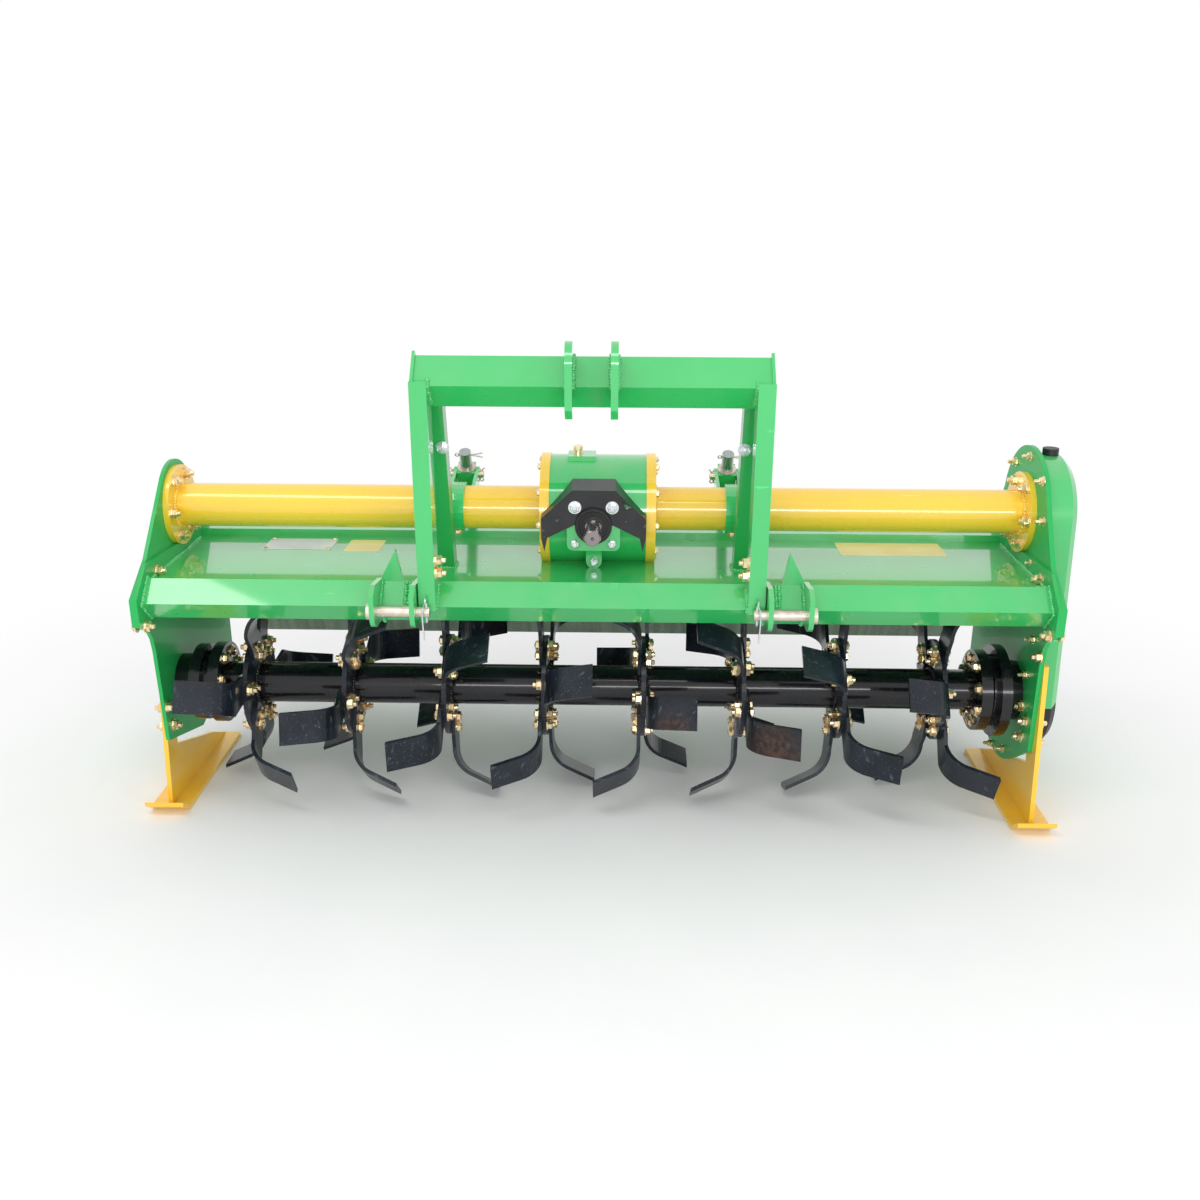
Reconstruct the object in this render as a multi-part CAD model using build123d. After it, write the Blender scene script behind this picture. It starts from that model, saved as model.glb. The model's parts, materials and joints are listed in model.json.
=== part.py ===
from build123d import *

import math
import os

# Tractor-mounted rotary tiller, 1.85 m working width, side gear drive.
# Millimetres. +X is the side with the gear case, -Y points to the tractor, +Z up.
# Everything is laid out from the rotor's axis (Y = 0, Z = 0); the last step moves
# the finished machine so that its origin is under the middle of its bounding box.

# ---- overall frame -------------------------------------------------------------
INNER_WIDTH = 1863.0        # between the two side plates
FRAME_OFFSET = 6.5          # middle of the frame, to the right of the headstock's middle
SIDE_PLATE = 8.0            # left side plate
GEAR_PLATE = 10.0           # plate that carries the gear case
END_PLATE = 8.0             # plates welded to the ends of beam and deck
FIT_GAP = 0.3               # between neighbours that are bolted, not welded
RUNNING_FIT = 0.05          # radial clearance of a shaft in its bearing

# ---- rotor ---------------------------------------------------------------------
ROTOR_TUBE_RADIUS = 45.0
ROTOR_TUBE_WALL = 8.0
TINE_FLANGES = 8
TINE_FLANGE_PITCH = 216.0
FIRST_FLANGE_OFFSET = 171.0  # from the left side plate to the first tine flange
TINE_FLANGE_RADIUS = 112.0
TINE_FLANGE_THICKNESS = 10.0
LIGHT_SIDES = 24              # round outlines that carry nothing that turns
TINE_FLANGE_SIDES = 40       # turned edge and bore, as light polygons
FLANGE_STAGGER = 16.4        # each flange is turned this much further, degrees
FIRST_TINE_ANGLE = -12.3     # first left-handed blade, degrees below straight ahead
HAND_OFFSET = -60.0          # right-handed blade against its left-handed twin
BLADES_PER_HAND = 3

# ---- blades --------------------------------------------------------------------
BLADE_TIP_RADIUS = 250.0
BLADE_THICKNESS = 8.0
BLADE_REACH = 103.0          # sideways, from the flange's face
BLADE_BEND_RADIUS = 65.0
BLADE_BEND_ANGLE = 65.0
BLADE_BEND_STEPS = 8         # flats that make the bend, few enough to stay light
BLADE_ROOT_RADIUS = 56.0     # where the shank starts
BLADE_ROOT_HALF_WIDTH = 32.0
BLADE_TIP_LEAD = 21.0        # cutting edge ahead of the blade's axis, at the tip
BLADE_WIDTH = 69.0           # of the bent part, from cutting edge to back
BLADE_RELIEF = 16.0          # the bent part falls away behind its cutting edge, degrees

# ---- rotor ends ----------------------------------------------------------------
JOURNAL_RADIUS = 25.0
JOURNAL_DEPTH = 34.0         # journal inside its housing
COUPLING_RADIUS = 90.0
COUPLING_THICKNESS = 24.0
HOUSING_GAP = 6.0            # between a housing and the turning coupling
LEFT_HUB_RADIUS = 62.0
LEFT_HUB_LENGTH = 38.0
LEFT_HOUSING_RADIUS = 85.0
LEFT_HOUSING_LENGTH = 24.0
LEFT_NOSE_RADIUS = 70.0
LEFT_NOSE_LENGTH = 12.0
RIGHT_HUB_RADIUS = 66.0
RIGHT_HUB_LENGTH = 33.0
RIGHT_HOUSING_RADIUS = 102.0
RIGHT_HOUSING_LENGTH = 22.0
RIGHT_NOSE_RADIUS = 80.0
RIGHT_NOSE_LENGTH = 10.0
HUB_CAP_RADIUS = 54.0
HUB_CAP_LENGTH = 22.0

# ---- axle tubes and gearbox ----------------------------------------------------
AXLE_Y = 80.0
AXLE_Z = 390.0
AXLE_TUBE_RADIUS = 47.5
AXLE_FLANGE_RADIUS = 88.0
AXLE_FLANGE_THICKNESS = 12.0
GEARBOX_RADIUS = 118.0
GEARBOX_LEFT = -95.0
GEARBOX_RIGHT = 111.0
COVER_RADIUS = 121.0
COVER_THICKNESS = 20.0
INPUT_FLANGE_SIZE = 112.0
INPUT_FLANGE_THICKNESS = 16.0
INPUT_FACE_Y = -60.0         # front face of the square input flange
INPUT_NECK_RADIUS = 50.0
DRAIN_LUG_RADIUS = 17.0
DRAIN_LUG_Y = -24.0
DRAIN_LUG_Z = 300.0
SEAL_RADIUS = 37.0
SEAL_LENGTH = 12.0
INPUT_SHAFT_RADIUS = 17.45   # 1 3/8 inch power take-off shaft
INPUT_SHAFT_LENGTH = 100.0   # from the input flange's face to the shaft's end
SPLINE_DEPTH = 2.4
SPLINES = 6

# ---- shaft guard ---------------------------------------------------------------
GUARD_SHEET = 3.0
GUARD_HALF_WIDTH = 110.0
GUARD_TOP_HALF_WIDTH = 45.0
GUARD_TOP = 75.0             # above the input shaft
GUARD_SHOULDER = 14.0
GUARD_SIDE_BOTTOM = -28.0
GUARD_DEPTH = 62.0
GUARD_RISE = 13.0             # its rear edge stands higher than its front edge
GUARD_HORN = 13.0             # width of the horns at its lower corners
GUARD_HORN_TIP = -58.0

# ---- front beam, deck, end plates ----------------------------------------------
BEAM_SIDE = 60.0
BEAM_Y = -154.0
BEAM_Z = 252.0
BEAM_TURN = 43.0
BEAM_WALL = 6.0
DECK_TOP = 285.0
DECK_SHEET = 5.0
DECK_STEP_Y = 194.0
DECK_STEP = 17.0
DECK_REAR_Y = 236.0

# ---- headstock -----------------------------------------------------------------
CROSSBAR_SIDE = 70.0
CROSSBAR_Y = -152.0
CROSSBAR_Z = 703.0
CROSSBAR_TURN = 47.0
CROSSBAR_HALF_LENGTH = 342.0
CROSSBAR_CAP = 6.0
CROSSBAR_CAP_PROUD = 4.0
LEG_WIDTH = 34.0
LEG_DEPTH = 54.0
LEG_PROUD = 12.0             # leg's front face ahead of the crossbar's nose
STRUT_WIDTH = 46.0
STRUT_SHEET = 8.0
STRUT_DEPTH = 40.0
STRUT_FOOT_Y = -30.0
TOP_EAR_THICKNESS = 14.0
TOP_EAR_GAP = 72.0
TOP_PIN_Y = -222.0
TOP_PIN_Z = 750.0
TOP_PIN_BORE = 19.5
TOP_EAR_RADIUS = 40.0

# ---- lower hitch ---------------------------------------------------------------
HITCH_SPREAD = 790.0         # between the middles of the two clevises
HITCH_GAP = 70.0             # clear width of a clevis
HITCH_EAR = 10.0
HITCH_PIN_RADIUS = 11.0      # category 1 lower link pin, 22 mm
HITCH_PIN_Y = -226.0
HITCH_PIN_Z = 253.0
HITCH_EAR_RADIUS = 31.0
PIN_HEAD_RADIUS = 17.0
PIN_HEAD_LENGTH = 9.0
PIN_TAIL = 26.0
GUSSET_BASE = 54.0
GUSSET_HEIGHT = 76.0
GUSSET_PEAK = 0.72           # where its peak stands, as a share of its base
GUSSET_THICKNESS = 8.0

# ---- gear case -----------------------------------------------------------------
CASE_DEPTH = 65.0
CASE_TOP_RADIUS = 128.0
CASE_BOTTOM_RADIUS = 120.0
CASE_EDGE = 14.0
CASE_FOOT_TURN = 32.0
PLATE_TOP_RADIUS = 145.0
PLATE_BOTTOM_RADIUS = 162.0
PLATE_LOW_Y = 70.0            # middle of the gear case plate's lower round
PLATE_LOW_Z = -25.0
CASE_LOW_Y = 45.0             # middle of the gear case's lower round
CASE_LOW_Z = -20.0
FILLER_RADIUS = 17.0
FILLER_HEIGHT = 14.0

# ---- skids ---------------------------------------------------------------------
GROUND_CLEARANCE = 6.0       # soles below the circle of the blade tips
SKID_SHEET = 10.0
SKID_SOLE_WIDTH = 84.0
SKID_TOP_Z = 112.0
SKID_TOP_Y = -95.0           # front edge of the left skid's post, at its top
SKID_LEAN = 33.0             # how far the post's foot stands ahead of its top
SKID_LENGTH = 374.0
SKID_TOE = 46.0
SKID_TOE_TURN = 35.0
SKID_POST_WIDTH = 42.0
RIGHT_SKID_FORWARD = 42.0    # right skid stands ahead of the gear case
CASE_GAP = 2.0

# ---- tailboard and its rods ----------------------------------------------------
HINGE_Y = 287.0
HINGE_Z = 257.0
HINGE_RADIUS = 9.0
HINGE_BORE_GAP = 0.08
KNUCKLE_RADIUS = 17.0
KNUCKLE_LENGTH = 60.0
HINGE_SPREAD = 700.0         # outer hinges from the middle one
TAIL_WIDTH = 1760.0
TAIL_SHEET = 4.0
TAIL_REAR_Y = 430.0
TAIL_BOTTOM_Z = -35.0
ROD_X = 299.0
ROD_RADIUS = 13.5
TRUNNION_Y = 230.0
TRUNNION_Z = 428.0
LUG_Y = 430.0
LUG_Z = 55.0
LUG_SHEET = 10.0
STRAP_WIDTH = 30.0

half = INNER_WIDTH / 2
left_x = FRAME_OFFSET - half
right_x = FRAME_OFFSET + half
first_flange_x = left_x + FIRST_FLANGE_OFFSET
last_flange_x = first_flange_x + (TINE_FLANGES - 1) * TINE_FLANGE_PITCH
sole_bottom = -(BLADE_TIP_RADIUS + GROUND_CLEARANCE)


def plate(x_low, thickness, sketch):
    """Extrude a sketch drawn in (Y, Z) from x_low towards +X."""
    return extrude(Plane.YZ.offset(x_low) * sketch, thickness)


def along_x(x_low, x_high, y, z, radius):
    """Round bar along X."""
    return plate(x_low, x_high - x_low, Pos(y, z) * Circle(radius))


def square_bar(x_low, x_high, y, z, side, turn):
    """Square bar along X, turned about its own axis."""
    return plate(x_low, x_high - x_low, Pos(y, z) * Rot(0, 0, turn) * Rectangle(side, side))


def polygon(points):
    """Flat face inside a closed run of corners."""
    return make_face(Polyline(*points, close=True))


def light_round(radius, around=False):
    """Round outline with few sides, inside the circle or around it."""
    return RegularPolygon(radius, LIGHT_SIDES, major_radius=not around)


def both_sides(build):
    """The same piece on the left and on the right, as (left, right)."""
    right = build()
    return mirror(right, Plane.YZ), right


# ---- rotor ---------------------------------------------------------------------
def blade():
    """Right-handed L-blade on its flange: +Z outwards, +X sideways, -Y cutting edge."""
    face = TINE_FLANGE_THICKNESS / 2
    bend = math.radians(BLADE_BEND_ANGLE)
    outer_radius = BLADE_BEND_RADIUS + BLADE_THICKNESS / 2
    inner_radius = BLADE_BEND_RADIUS - BLADE_THICKNESS / 2
    centre_x = face + outer_radius
    run_x = math.sin(bend)
    run_z = math.cos(bend)
    run = (BLADE_REACH - outer_radius * (1 - math.cos(bend))) / run_x
    relief = math.radians(BLADE_RELIEF)
    corner_z = math.sqrt(BLADE_TIP_RADIUS**2 - BLADE_TIP_LEAD**2)
    tip_z = corner_z * math.cos(relief) - BLADE_TIP_LEAD * math.sin(relief)
    centre_z = tip_z - outer_radius * math.sin(bend) - run * run_z

    def on_bend(radius, angle):
        return (centre_x - radius * math.cos(angle), centre_z + radius * math.sin(angle))

    def past_bend(start):
        return (start[0] + run * run_x, start[1] + run * run_z)

    turns = [bend * step / BLADE_BEND_STEPS for step in range(BLADE_BEND_STEPS + 1)]
    outside = [on_bend(outer_radius, turn) for turn in turns]
    inside = [on_bend(inner_radius, turn) for turn in turns]
    strip = polygon(
        [(face, BLADE_ROOT_RADIUS)]
        + outside
        + [past_bend(outside[-1]), past_bend(inside[-1])]
        + inside[::-1]
        + [(face + BLADE_THICKNESS, BLADE_ROOT_RADIUS)]
    )
    bent_strip = Rot(-BLADE_RELIEF, 0, 0) * extrude(Plane.XZ * strip, BLADE_TIP_RADIUS, both=True)

    def on_strip(across, along):
        y = across * math.cos(relief) + along * math.sin(relief)
        z = along * math.cos(relief) - across * math.sin(relief)
        return (y, z)

    edge = -BLADE_TIP_LEAD * math.cos(relief) - corner_z * math.sin(relief)
    back = edge + BLADE_WIDTH
    outline = polygon(
        [
            (-BLADE_ROOT_HALF_WIDTH, BLADE_ROOT_RADIUS),
            (BLADE_ROOT_HALF_WIDTH, BLADE_ROOT_RADIUS),
            (BLADE_ROOT_HALF_WIDTH, TINE_FLANGE_RADIUS),
            on_strip(back, centre_z),
            on_strip(back, BLADE_TIP_RADIUS),
            on_strip(edge, BLADE_TIP_RADIUS),
            on_strip(edge, centre_z),
            (-BLADE_ROOT_HALF_WIDTH, TINE_FLANGE_RADIUS),
        ]
    )
    return bent_strip & plate(face, BLADE_REACH, outline)


def blade_set(index, right_blade):
    """One tine flange with three blades of each hand, as one bolted-up unit."""
    x = first_flange_x + index * TINE_FLANGE_PITCH
    rim = RegularPolygon(TINE_FLANGE_RADIUS, TINE_FLANGE_SIDES)
    bore = RegularPolygon(ROTOR_TUBE_RADIUS, TINE_FLANGE_SIDES, major_radius=False)
    ring = rim - bore
    unit = plate(-TINE_FLANGE_THICKNESS / 2, TINE_FLANGE_THICKNESS, ring)
    left_blade = mirror(right_blade, Plane.YZ)
    for turn in range(BLADES_PER_HAND):
        left_angle = FIRST_TINE_ANGLE + index * FLANGE_STAGGER + turn * 360 / BLADES_PER_HAND
        unit += Rot(90 + left_angle, 0, 0) * left_blade
        unit += Rot(90 + left_angle + HAND_OFFSET, 0, 0) * right_blade
    return Pos(x, 0, 0) * unit


left_disc_x = left_x + LEFT_HUB_LENGTH + LEFT_HOUSING_LENGTH
left_housing_face = left_disc_x + LEFT_NOSE_LENGTH
right_disc_x = right_x - RIGHT_HUB_LENGTH - RIGHT_HOUSING_LENGTH
right_housing_face = right_disc_x - RIGHT_NOSE_LENGTH
rotor_left = left_housing_face + HOUSING_GAP
rotor_right = right_housing_face - HOUSING_GAP


def rotor_tube():
    """Tube, bolted couplings and journals, turned as one."""
    tube = along_x(rotor_left, rotor_right, 0, 0, ROTOR_TUBE_RADIUS)
    bore = ROTOR_TUBE_RADIUS - ROTOR_TUBE_WALL
    tube -= along_x(rotor_left + COUPLING_THICKNESS, rotor_right - COUPLING_THICKNESS, 0, 0, bore)
    tube += along_x(rotor_left, rotor_left + COUPLING_THICKNESS, 0, 0, COUPLING_RADIUS)
    tube += along_x(rotor_right - COUPLING_THICKNESS, rotor_right, 0, 0, COUPLING_RADIUS)
    tube += along_x(left_housing_face - JOURNAL_DEPTH, rotor_left, 0, 0, JOURNAL_RADIUS)
    tube += along_x(rotor_right, right_housing_face + JOURNAL_DEPTH, 0, 0, JOURNAL_RADIUS)
    return tube


def rotor_housing_left():
    """Bearing housing bolted to the inside of the left side plate."""
    body = along_x(left_x, left_disc_x, 0, 0, LEFT_HUB_RADIUS)
    body += along_x(left_disc_x - LEFT_HOUSING_LENGTH, left_disc_x, 0, 0, LEFT_HOUSING_RADIUS)
    body += along_x(left_disc_x, left_housing_face, 0, 0, LEFT_NOSE_RADIUS)
    pocket = along_x(left_housing_face - JOURNAL_DEPTH - 2, left_housing_face, 0, 0, JOURNAL_RADIUS + RUNNING_FIT)
    return body - pocket


def rotor_housing_right():
    """Bearing housing on the gear case plate: hub, large disc and nose."""
    body = along_x(right_disc_x, right_x, 0, 0, RIGHT_HUB_RADIUS)
    body += along_x(right_disc_x, right_disc_x + RIGHT_HOUSING_LENGTH, 0, 0, RIGHT_HOUSING_RADIUS)
    body += along_x(right_housing_face, right_disc_x, 0, 0, RIGHT_NOSE_RADIUS)
    pocket = along_x(right_housing_face, right_housing_face + JOURNAL_DEPTH + 2, 0, 0, JOURNAL_RADIUS + RUNNING_FIT)
    return body - pocket


# ---- side plates ---------------------------------------------------------------
beam_nose_y = BEAM_Y - BEAM_SIDE / math.sqrt(2)
NOSE_Y = beam_nose_y - 22
NOSE = [
    # y, z: front part that holds the beam, from the deck's height down
    (-126.0, 326.0),
    (NOSE_Y, 268.0),
    (NOSE_Y, 210.0),
    (-168.0, 185.0),
]


def side_outline(top_radius, foot):
    """Outline of a side plate: round head on the axle tube, nose for the beam, foot."""
    head = Pos(AXLE_Y, AXLE_Z) * Circle(top_radius)
    lean = math.radians(138.0)
    shoulder = (AXLE_Y + top_radius * math.cos(lean), AXLE_Z + top_radius * math.sin(lean))
    throat = [(-154.0, 174.0), (-142.0, 156.0), (-135.0, 126.0)]
    body = polygon([shoulder] + NOSE + throat + foot)
    return head + body


def side_plate_left():
    """Left side plate, from the axle tube down to the bearing and back to the tailboard."""
    foot = [
        (-121.0, -90.0),
        (84.0, -150.0),
        (338.0, -60.0),
        (338.0, 230.0),
        (AXLE_Y + AXLE_FLANGE_RADIUS, AXLE_Z + 40),
    ]
    sketch = side_outline(AXLE_FLANGE_RADIUS + 12, foot)
    return plate(left_x - SIDE_PLATE, SIDE_PLATE, sketch)


def gear_case_plate():
    """Thicker right-hand plate that the gear case is bolted to."""
    foot = [
        (-133.0, -86.0),
        (-23.0, -158.0),
        (174.0, -149.0),
        (338.0, -40.0),
        (338.0, 230.0),
        (AXLE_Y + PLATE_TOP_RADIUS - 12, AXLE_Z + 40),
    ]
    low_round = Pos(PLATE_LOW_Y, PLATE_LOW_Z) * Circle(PLATE_BOTTOM_RADIUS)
    sketch = side_outline(PLATE_TOP_RADIUS, foot) + low_round
    return plate(right_x, GEAR_PLATE, sketch)


def end_plate_outline():
    """Plate welded to the end of the beam and deck, bolted inside the side plate."""
    nose_top, nose_front, nose_low, nose_heel = NOSE
    outline = polygon(
        [
            (nose_top[0] - 27, nose_top[1] - 4),
            nose_front,
            nose_low,
            nose_heel,
            (-110.0, DECK_TOP - 30),
            (DECK_REAR_Y, DECK_TOP - 30),
            (DECK_REAR_Y, DECK_TOP + DECK_STEP + 2),
            (AXLE_Y, DECK_TOP + 25),
        ]
    )
    return outline - Pos(AXLE_Y, AXLE_Z) * Circle(AXLE_FLANGE_RADIUS + FIT_GAP)


def end_plate(x_low):
    """End plate of beam and deck, bolted inside a side plate."""
    return plate(x_low, END_PLATE, end_plate_outline())


# ---- beam and deck -------------------------------------------------------------
inside_left = left_x + END_PLATE
inside_right = right_x - END_PLATE


def front_beam():
    """Square tube set on its edge, full width between the end plates."""
    tube = square_bar(inside_left, inside_right, BEAM_Y, BEAM_Z, BEAM_SIDE, BEAM_TURN)
    return tube - square_bar(inside_left, inside_right, BEAM_Y, BEAM_Z, BEAM_SIDE - 2 * BEAM_WALL, BEAM_TURN)


def deck():
    """Folded sheet over the rotor: flat, with a raised step towards the rear."""
    low = DECK_TOP - DECK_SHEET
    high = DECK_TOP + DECK_STEP
    profile = polygon(
        [
            (BEAM_Y, low),
            (BEAM_Y, DECK_TOP),
            (DECK_STEP_Y, DECK_TOP),
            (DECK_STEP_Y, high),
            (DECK_REAR_Y, high),
            (HINGE_Y - 6, HINGE_Z + KNUCKLE_RADIUS + 8),
            (HINGE_Y - 8, HINGE_Z + KNUCKLE_RADIUS + 2),
            (DECK_REAR_Y - 2, high - DECK_SHEET),
            (DECK_STEP_Y + DECK_SHEET, high - DECK_SHEET),
            (DECK_STEP_Y + DECK_SHEET, low),
        ]
    )
    sheet = plate(inside_left, inside_right - inside_left, profile)
    sheet -= square_bar(inside_left, inside_right, BEAM_Y, BEAM_Z, BEAM_SIDE, BEAM_TURN)
    for x in (left_x, right_x - AXLE_FLANGE_THICKNESS - 2):
        sheet -= along_x(x, x + AXLE_FLANGE_THICKNESS + 2, AXLE_Y, AXLE_Z, AXLE_FLANGE_RADIUS + FIT_GAP)
    return sheet


# ---- axle tubes and gearbox ----------------------------------------------------
def axle_tube(x_inner, x_outer):
    """Round tube between gearbox and side plate with its bolting flange."""
    low = min(x_inner, x_outer)
    high = max(x_inner, x_outer)
    tube = along_x(low, high, AXLE_Y, AXLE_Z, AXLE_TUBE_RADIUS)
    flange_low = x_outer if x_outer < 0 else x_outer - AXLE_FLANGE_THICKNESS
    tube += along_x(flange_low, flange_low + AXLE_FLANGE_THICKNESS, AXLE_Y, AXLE_Z, AXLE_FLANGE_RADIUS)
    return tube


def above_deck(solid):
    """Cut off what would reach into the deck."""
    block = Pos(0, AXLE_Y, DECK_TOP - 100) * Box(1000, 1000, 200)
    return solid - block


def gearbox_body():
    """Round cast body across the machine, with a neck for the input shaft."""
    body = along_x(GEARBOX_LEFT, GEARBOX_RIGHT, AXLE_Y, AXLE_Z, GEARBOX_RADIUS)
    neck_back = INPUT_FACE_Y + INPUT_FLANGE_THICKNESS
    neck = Pos(0, (neck_back + AXLE_Y) / 2, AXLE_Z) * Rot(90, 0, 0) * Cylinder(INPUT_NECK_RADIUS, AXLE_Y - neck_back)
    body += neck
    boss_top = AXLE_Z + GEARBOX_RADIUS + 5
    body += Pos(-28, AXLE_Y - 6, boss_top - 15) * Box(60, 60, 30)
    lug = Pos(0, (DRAIN_LUG_Z + AXLE_Z) / 2) * Rectangle(2 * DRAIN_LUG_RADIUS, AXLE_Z - DRAIN_LUG_Z)
    lug += Pos(0, DRAIN_LUG_Z) * Circle(DRAIN_LUG_RADIUS)
    body += extrude(Plane.XZ.offset(-DRAIN_LUG_Y) * lug, DRAIN_LUG_Y - AXLE_Y)
    return above_deck(body)


def gearbox_cover(x_low):
    """Turned end cover between gearbox body and axle tube."""
    return above_deck(along_x(x_low, x_low + COVER_THICKNESS, AXLE_Y, AXLE_Z, COVER_RADIUS))


def input_flange():
    """Square flange with rounded corners, and the seal housing in front of it."""
    square = RectangleRounded(INPUT_FLANGE_SIZE, INPUT_FLANGE_SIZE, 14)
    front = Plane.XZ.offset(-INPUT_FACE_Y)
    centre = Pos(0, AXLE_Z)
    body = extrude(front * (centre * square), -INPUT_FLANGE_THICKNESS)
    body += extrude(front * (centre * Circle(SEAL_RADIUS)), SEAL_LENGTH)
    bore = centre * Circle(INPUT_SHAFT_RADIUS + RUNNING_FIT)
    return body - extrude(front * bore, SEAL_LENGTH) - extrude(front * bore, -INPUT_FLANGE_THICKNESS)


def input_shaft():
    """Power take-off shaft: plain journal in the seal, six splines outside."""
    journal = SEAL_LENGTH + 14
    splined = INPUT_SHAFT_LENGTH - journal
    base = Plane.XZ.offset(-INPUT_FACE_Y) * Pos(0, AXLE_Z)
    shaft = extrude(base * Circle(INPUT_SHAFT_RADIUS), journal)
    shaft += extrude(base * Circle(INPUT_SHAFT_RADIUS), -INPUT_FLANGE_THICKNESS)
    core = Circle(INPUT_SHAFT_RADIUS - SPLINE_DEPTH)
    key = Rectangle(2 * INPUT_SHAFT_RADIUS, 8.6) & Circle(INPUT_SHAFT_RADIUS)
    for index in range(SPLINES // 2):
        core += Rot(0, 0, index * 360 / SPLINES) * key
    outer = Plane.XZ.offset(-INPUT_FACE_Y + journal) * Pos(0, AXLE_Z)
    return shaft + extrude(outer * core, splined)


def shaft_guard():
    """Folded sheet hood round the input shaft, held by the two upper flange bolts."""
    outer = [
        (-GUARD_HALF_WIDTH, GUARD_SIDE_BOTTOM),
        (-GUARD_HALF_WIDTH, GUARD_SHOULDER),
        (-GUARD_TOP_HALF_WIDTH, GUARD_TOP),
        (GUARD_TOP_HALF_WIDTH, GUARD_TOP),
        (GUARD_HALF_WIDTH, GUARD_SHOULDER),
        (GUARD_HALF_WIDTH, GUARD_SIDE_BOTTOM),
    ]
    horn_inner = GUARD_HALF_WIDTH - GUARD_HORN
    horn_tip = GUARD_HALF_WIDTH - GUARD_HORN / 2
    lower = [
        (horn_tip, GUARD_HORN_TIP),
        (horn_inner, GUARD_SIDE_BOTTOM),
        (SEAL_RADIUS + 4, 0),
        (-SEAL_RADIUS - 4, 0),
        (-horn_inner, GUARD_SIDE_BOTTOM),
        (-horn_tip, GUARD_HORN_TIP),
    ]
    blank = polygon(outer + lower) - polygon([(59, 54), (81, 38), (68, 34)])
    front = Plane.XZ.offset(-INPUT_FACE_Y)
    face = extrude(front * (Pos(0, AXLE_Z) * (blank - Circle(SEAL_RADIUS + FIT_GAP))), GUARD_SHEET)
    hood_inner = [
        (-GUARD_HALF_WIDTH + GUARD_SHEET, GUARD_SIDE_BOTTOM),
        (-GUARD_HALF_WIDTH + GUARD_SHEET, GUARD_SHOULDER - 1),
        (-GUARD_TOP_HALF_WIDTH + 1, GUARD_TOP - GUARD_SHEET),
        (GUARD_TOP_HALF_WIDTH - 1, GUARD_TOP - GUARD_SHEET),
        (GUARD_HALF_WIDTH - GUARD_SHEET, GUARD_SHOULDER - 1),
        (GUARD_HALF_WIDTH - GUARD_SHEET, GUARD_SIDE_BOTTOM),
    ]
    slope = Vector(0, GUARD_DEPTH, GUARD_RISE)
    hood = extrude(front * (Pos(0, AXLE_Z) * polygon(outer + hood_inner[::-1])), slope.length, dir=slope)
    hood -= along_x(-200, 200, AXLE_Y, AXLE_Z, COVER_RADIUS + 1)
    return face + hood


# ---- headstock -----------------------------------------------------------------
crossbar_nose_y = CROSSBAR_Y - CROSSBAR_SIDE / math.sqrt(2)
leg_inner_x = CROSSBAR_HALF_LENGTH + CROSSBAR_CAP - LEG_WIDTH


def headstock_crossbar():
    """Square tube set on its edge, with a cap plate on each end."""
    bar = square_bar(-CROSSBAR_HALF_LENGTH, CROSSBAR_HALF_LENGTH, CROSSBAR_Y, CROSSBAR_Z, CROSSBAR_SIDE, CROSSBAR_TURN)
    cap = Pos(CROSSBAR_Y, CROSSBAR_Z + 6) * Rot(0, 0, CROSSBAR_TURN) * Rectangle(CROSSBAR_SIDE + 4, CROSSBAR_SIDE + 4)
    bar += plate(-CROSSBAR_HALF_LENGTH - CROSSBAR_CAP, CROSSBAR_CAP, cap)
    bar += plate(CROSSBAR_HALF_LENGTH, CROSSBAR_CAP, cap)
    return bar


def headstock_leg():
    """Right-hand leg, notched over the noses of crossbar and beam."""
    front = crossbar_nose_y - LEG_PROUD
    low = BEAM_Z - 2
    high = CROSSBAR_Z + 8
    leg = Pos(leg_inner_x + LEG_WIDTH / 2, front + LEG_DEPTH / 2, (low + high) / 2)
    leg = leg * Box(LEG_WIDTH, LEG_DEPTH, high - low)
    leg -= square_bar(0, half, BEAM_Y, BEAM_Z, BEAM_SIDE, BEAM_TURN)
    cap = Pos(CROSSBAR_Y, CROSSBAR_Z + 6) * Rot(0, 0, CROSSBAR_TURN) * Rectangle(CROSSBAR_SIDE + 4, CROSSBAR_SIDE + 4)
    leg -= plate(CROSSBAR_HALF_LENGTH, CROSSBAR_CAP, cap)
    return leg - square_bar(0, half, CROSSBAR_Y, CROSSBAR_Z, CROSSBAR_SIDE, CROSSBAR_TURN)


def strut():
    """Right-hand folded strut from the crossbar's underside back and down to the deck."""
    top_y = CROSSBAR_Y + 20
    top_z = CROSSBAR_Z - 20
    inner_x = leg_inner_x + LEG_WIDTH - STRUT_WIDTH - 4
    run_y = STRUT_FOOT_Y - top_y
    run_z = DECK_TOP - 20 - top_z
    length = math.hypot(run_y, run_z)
    side_y = -run_z / length
    side_z = run_y / length

    def band(depth_low, depth_high):
        corners = [(top_y, top_z, depth_low), (top_y, top_z, depth_high)]
        foot = [(STRUT_FOOT_Y, DECK_TOP - 20, depth_high), (STRUT_FOOT_Y, DECK_TOP - 20, depth_low)]
        return polygon([(y + side_y * d, z + side_z * d) for y, z, d in corners + foot])

    body = plate(inner_x, STRUT_WIDTH, band(0, STRUT_SHEET))
    body += plate(inner_x, STRUT_SHEET, band(STRUT_SHEET, STRUT_DEPTH))
    body -= square_bar(0, half, CROSSBAR_Y, CROSSBAR_Z, CROSSBAR_SIDE, CROSSBAR_TURN)
    return above_deck(body)


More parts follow.
